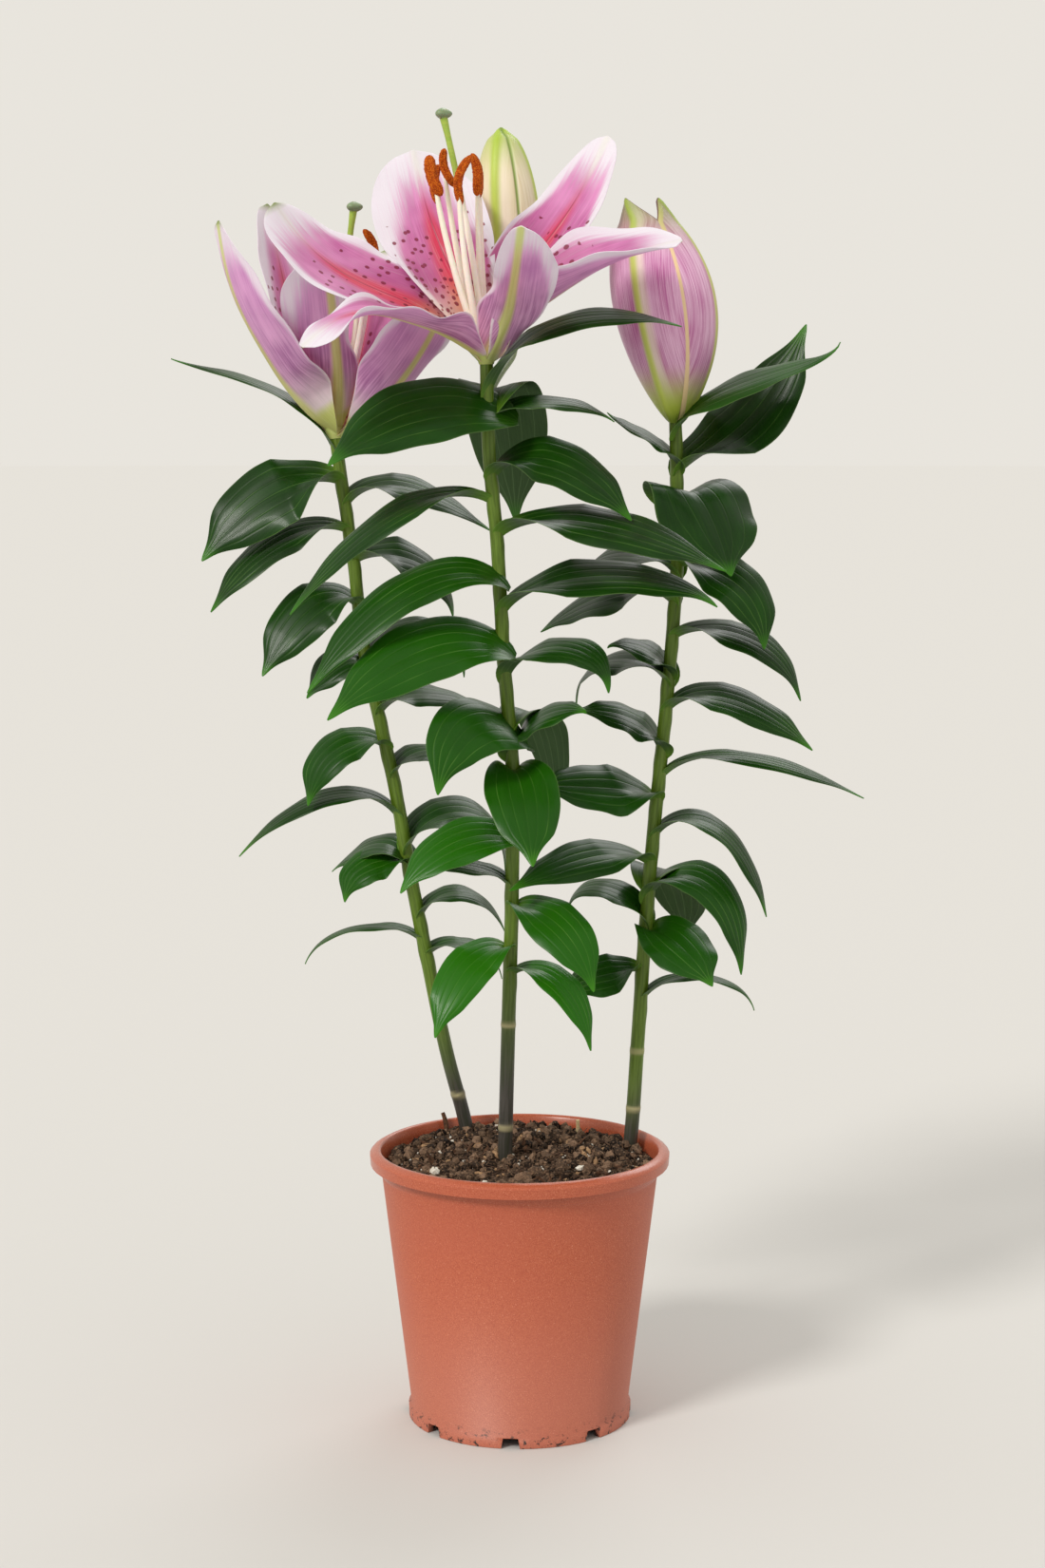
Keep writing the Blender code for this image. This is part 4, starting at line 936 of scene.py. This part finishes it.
def bud_surface(bud, tepal, t, u):
    """An outer tepal of a closed bud: at height t its radius is R t^a (1-t)^b over that product's greatest
    value, and across it runs from its first azimuth to its last about the bud's middle line. Past the height
    at which the edges part, the radius goes straight to the tips' and each tepal narrows to its own tip. The
    foot is up to 2.6 mm wider. Returns its places, and half its width."""
    foot, tip, bow, widest, rise, fall, part, parted, _ = bud
    first, last, _, tip_azimuth, top = tepal
    part = part + top - 1
    foot, tip = np.array(foot, float), np.array(tip, float)
    peak = rise / (rise + fall)
    low = np.minimum(t, part)
    closed = widest * low**rise * (1 - low) ** fall / (peak**rise * (1 - peak) ** fall)
    apart = np.clip((t - part) / (top - part), 0, 1)
    radius = closed + (parted - closed) * apart + 2.6 * (1 - t) ** 6
    centre = (first + last) / 2 + (tip_azimuth - (first + last) / 2) * apart**1.5
    narrow = (1 - apart) ** (0.6 * min(parted / 6, 1))
    angle = np.radians(centre + (last - first) / 2 * u * narrow)
    line = foot + t[..., None] * (tip - foot) + (4 * bow * t * (1 - t))[..., None] * [1, 0, 0]
    around = np.stack([np.cos(angle), np.sin(angle), 0 * angle], -1)
    return line + radius[..., None] * around, radius * narrow * math.radians(last - first) / 2


def make_bud(name, bud, material):
    """A closed bud: three outer tepals with a keel each, and the inner ones, which fill it as one core."""
    mesh = Mesh()
    foot, tip, bow, *_, part, _, tepals = bud
    foot, axis = np.array(foot), np.array(tip, float) - np.array(foot, float)
    t, u = grid(72, 41)
    # The grid is turned over, so that the shell's first side faces outwards
    t, u = BUD_START + 0.995 * t, u[:, ::-1]
    for i, tepal in enumerate(tepals):
        first, last, rib, _, top = tepal
        middle, half = bud_surface(bud, tepal, t * top, u)
        off = (u - (2 * rib - first - last) / (last - first)) * half
        rim = (1 - np.abs(u)) * half
        out = unit((middle - foot - top * t[..., None] * axis) * [1, 1, 0])
        middle = middle + out * (0.8 * hill(off, 1.6) - 0.9 * hill(rim, 1.1))[..., None]
        crest = np.clip(smooth_step(0.72, 1, t) + (1 - smooth_step(0, 0.07, t)), 0, 1)
        near = smooth_step(0.05, -0.05, u) * (1 - smooth_step(0.93, 1, t))
        # The inner side has no rib, and less of the colour at the crest
        mesh.blade(
            middle, TEPAL_THICKNESS * np.ones(t.shape), (t * BUD_LENGTH, half * u, 5.0 * i), off=(off, FAR),
            rim=rim, near=near, foot=1 - smooth_step(0.05, 0.28, t), crest=(crest, 0.2 * crest),
        )
    # The core closes in a dome just where the outer tepals' edges part
    s = np.linspace(0, 1, 48)
    t = BUD_START + (min(part, 0.9) - 0.02) * s
    core, _ = bud_surface(bud, tepals[0], t, 0 * t)
    line = foot + t[:, None] * axis + (4 * bow * t * (1 - t))[:, None] * [1, 0, 0]
    radii = (np.linalg.norm(core - line, axis=1) - 1.8) * (1 - s**9) ** 0.5
    mesh.rod(line, np.maximum(radii, 0.3), 36, off=FAR, rim=FAR, near=0.0, foot=0.0, crest=0.3)
    mesh.piece(name + "_tepals", material, name, name, sharp=60)


# The pot and the compost


def make_pot(material):
    """The pot, from the merged mesh of its solid."""
    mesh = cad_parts["pot"].data.copy()
    thing = new_object("pot_moulding", mesh)
    weld = thing.modifiers.new("Weld", "WELD")
    weld.merge_threshold = 0.01 * MM
    mesh.materials.clear()
    mesh.materials.append(material)
    graph = bpy.context.evaluated_depsgraph_get()
    merged = bpy.data.meshes.new_from_object(thing.evaluated_get(graph))
    thing.modifiers.clear()
    thing.data = merged
    merged.shade_smooth()
    merged.set_sharp_from_angle(angle=math.radians(30))
    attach(thing, "root")
    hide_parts("pot")


def soil_height(x, y):
    """The compost's surface: level at the wall, heaped towards the stems, and lumpy."""
    heap = SOIL_HEAP * np.exp(-(((x + 4) / 50) ** 2) - ((y - 24) / 42) ** 2)
    lumps = np.sin(0.23 * x + 1.1) * np.cos(0.27 * y - 0.4) + 0.6 * np.sin(0.51 * x - 0.37 * y)
    fine = 0.5 * np.sin(1.1 * x + 0.6 * y) * np.sin(0.9 * y - 0.5 * x)
    fine = fine + 0.3 * np.sin(2.3 * x) * np.cos(2.1 * y)
    near_wall = np.clip((SOIL_RADIUS - np.hypot(x, y)) / 8, 0, 1)
    return SOIL_LEVEL + (heap + 1.3 * lumps + fine) * near_wall


def crumb_shapes(rng, places, sizes, lengths):
    """Small lumps as one patch: each a ball of four rings and six sides, made uneven and turned at random."""
    rings, sides = 4, 6
    polar = np.pi * (np.arange(rings) + 0.5)[:, None] / rings
    angle = np.arange(sides) * 2 * np.pi / sides
    round_it = np.sin(polar) * np.cos(angle), np.sin(polar) * np.sin(angle)
    ball = np.stack([*round_it, np.cos(polar) + 0 * angle], -1)
    index = np.arange(rings * sides).reshape(rings, sides)
    wall = ring_faces(rings, sides)[0][:, [0, 3, 2, 1]]
    halves = [0, 1, 2, 3], [0, 3, 4, 5]
    caps = np.stack([end[half] for end in (index[0, ::-1], index[-1]) for half in halves])
    rough = 1 + rng.uniform(-0.28, 0.28, (len(places), index.size, 1))
    local = ball.reshape(-1, 3) * rough * sizes[:, None, None]
    local[:, :, 2] *= lengths[:, None]
    spin = np.linalg.qr(rng.normal(size=(len(places), 3, 3)))[0]
    spin *= np.sign(np.linalg.det(spin))[:, None, None]
    points = places[:, None] + np.einsum("nij,nkj->nki", spin, local)
    shift = (np.arange(len(places)) * index.size)[:, None, None]
    return points.reshape(-1, 3), (np.concatenate([wall, caps[:, ::-1]]) + shift).reshape(-1, 4)


def scattered(rng, count):
    """Places on the compost: even over its disc, at its surface."""
    radius = (SOIL_RADIUS - 2.5) * np.sqrt(rng.uniform(0, 1, count))
    turn = rng.uniform(0, 2 * np.pi, count)
    x, y = radius * np.cos(turn), radius * np.sin(turn)
    return np.stack([x, y, soil_height(x, y)], -1)


def bits(rng, name):
    """All the bits of one kind on the compost: a bit's radius is least + more * random share^power."""
    count, least, more, power, rise, lengths, chosen = BITS[name]
    sizes = least + more * rng.uniform(0, 1, count) ** power
    places = scattered(rng, count) + sizes[:, None] * [0, 0, rise]
    for i, (x, y, size) in enumerate(chosen):
        places[i] = x, y, soil_height(x, y) + 1.6
        sizes[i] = size
    lengths = rng.uniform(*lengths, count) if lengths else np.ones(count)
    return crumb_shapes(rng, places, sizes, lengths)


def make_soil(rng, material):
    """The compost: a plug that fills the pot, with a lumpy top, and the crumbs on it."""
    mesh = Mesh()
    rings, sides = 72, 144
    radius = SOIL_RADIUS * np.linspace(0.004, 1, rings)[:, None]
    angle = np.arange(sides) * 2 * np.pi / sides
    x, y = radius * np.cos(angle), radius * np.sin(angle)
    z = soil_height(x, y)
    floor = FOOT_HEIGHT + BASE_PLATE + 0.4
    under = [(SOIL_RADIUS - 0.2, SOIL_LEVEL - 4), (WALL_BASE_RADIUS - WALL - 0.8, floor), (0.3, floor)]
    lower = np.array([[(r * np.cos(a), r * np.sin(a), h) for a in angle] for r, h in under])
    points = np.concatenate([np.stack([x, y, z], -1), lower]).reshape(-1, 3)
    points = np.concatenate([points, [[0, 0, float(z[0].mean())], [0, 0, floor]]])
    # The rings run outwards over the top and then down, so their faces are turned over
    wall, ends = ring_faces(rings + len(lower), sides)
    mesh.add(points, wall[:, [0, 3, 2, 1]], ends[:, [1, 0, 2]], tone=0.25)
    points, faces = bits(rng, "crumbs")
    count = BITS["crumbs"][0]
    mesh.add(points, faces, tone=np.repeat(rng.uniform(0, 1, count) ** 2.5, len(points) // count))
    mesh.piece("compost", material, "soil", "soil", sharp=35)


def make_litter(rng, name, material, stub=None):
    """A kind of litter on the compost, as one piece: its scattered bits, and one stub that stands in it."""
    mesh = Mesh()
    if name in BITS:
        mesh.add(*bits(rng, name))
    if stub:
        start, end, lean, first, last, sides = stub
        rod = bent_rod(np.array(start, float), np.array(end, float), (lean, 0, 0), 12)
        mesh.rod(rod, np.linspace(first, last, 12), sides)
    mesh.piece(name, material, "soil")


def make_fibres(rng, material):
    """Peat fibres: thin bowed rods that taper, strewn over the compost."""
    mesh = Mesh()
    count, shortest, longest, thick, thin = FIBRES
    for place in scattered(rng, count):
        turn, length = rng.uniform(0, 2 * np.pi), rng.uniform(shortest, longest)
        way = np.array([math.cos(turn), math.sin(turn), rng.uniform(-0.1, 0.35)]) * length
        start = place * [0.86, 0.86, 1] + [0, 0, 0.6]
        bow = rng.normal(0, 0.8, 3) + [0, 0, 0.8]
        mesh.rod(bent_rod(start, start + way, bow, 7), np.linspace(thick, thin, 7), 5)
    mesh.piece("fibres", material, "soil")


# The setting


def make_floor():
    """A wide pale floor, as bright under these lamps as the sky beyond it."""
    bpy.ops.mesh.primitive_circle_add(vertices=96, radius=40, fill_type="NGON", location=(0, 0, -0.0002))
    floor = bpy.context.object
    floor.name = "floor"
    floor.data.materials.append(matt_material("painted board, pale", FLOOR_COLOUR))


def make_light(name, place, strength, spread, tint):
    """A soft distant lamp, of this strength and angle, that shines from a place towards the origin."""
    lamp = bpy.data.lights.new(name, "SUN")
    lamp.energy = strength
    lamp.angle = math.radians(spread)
    lamp.color = colour(tint)[:3]
    thing = new_object(name, lamp)
    away = unit(np.array(place, float))
    thing.rotation_euler = (math.acos(away[2]), 0, math.atan2(away[1], away[0]) + math.pi / 2)


def make_setting():
    """The floor, a pale sky, two soft lamps and the camera."""
    scene = bpy.context.scene
    make_floor()
    world = bpy.data.worlds.new("pale studio")
    world.use_nodes = True
    world.node_tree.nodes["Background"].inputs[0].default_value = colour(SKY_COLOUR)
    world.node_tree.nodes["Background"].inputs[1].default_value = SKY_STRENGTH
    scene.world = world
    make_light("key", *KEY)
    make_light("back", *BACK)
    camera = bpy.data.cameras.new("camera")
    camera.lens = CAMERA_LENS
    camera.clip_end = 100
    thing = new_object("camera", camera)
    thing.location = [v * MM for v in CAMERA_PLACE]
    thing.rotation_euler = (math.radians(90 - CAMERA_PITCH), 0, 0)
    scene.camera = thing
    scene.view_settings.view_transform = "Standard"


leaf = leaf_material()
stem = stem_material()
for name in STEMS:
    make_leaves(name, leaf)
    make_stem(name, stem)
tepal = tepal_material()
pistil = pistil_material()
pollen = pollen_material()
for name in TEPALS:
    make_tepals(name, tepal)
    make_pistil(name, pistil)
    make_anthers(name, pollen)
make_bud("green_bud", GREEN_BUD, bud_material("green bud skin, satin", GREEN_BUD_COLOURS, 4.6, 1.6, 1.7))
make_bud("pink_bud", PINK_BUD, bud_material("pink bud skin, satin", PINK_BUD_COLOURS, 3.4, 2.6, 0.9))
make_pot(plastic_material())
# A fixed seed strews the compost in the same way each run
rng = np.random.default_rng(11)
make_soil(rng, compost_material())
make_litter(rng, "perlite", plain_material("perlite, expanded", "E9E4DA", "CFC7B8", 0.8, 0.9))
make_litter(rng, "bark", plain_material("bark, shredded", "3A281C", "6A4A34", 2.0, 0.9), STUB)
make_litter(rng, "coir", plain_material("coir, dry", "B08E6A", "86664A", 1.5, 0.9))
make_litter(rng, "straw", plain_material("straw, dry", "E6D2A6", "CDB282", 1.5, 0.7), STRAW)
make_fibres(rng, plain_material("peat fibre, dry", "6B5140", "3C2A20", 6, 0.9))
make_setting()
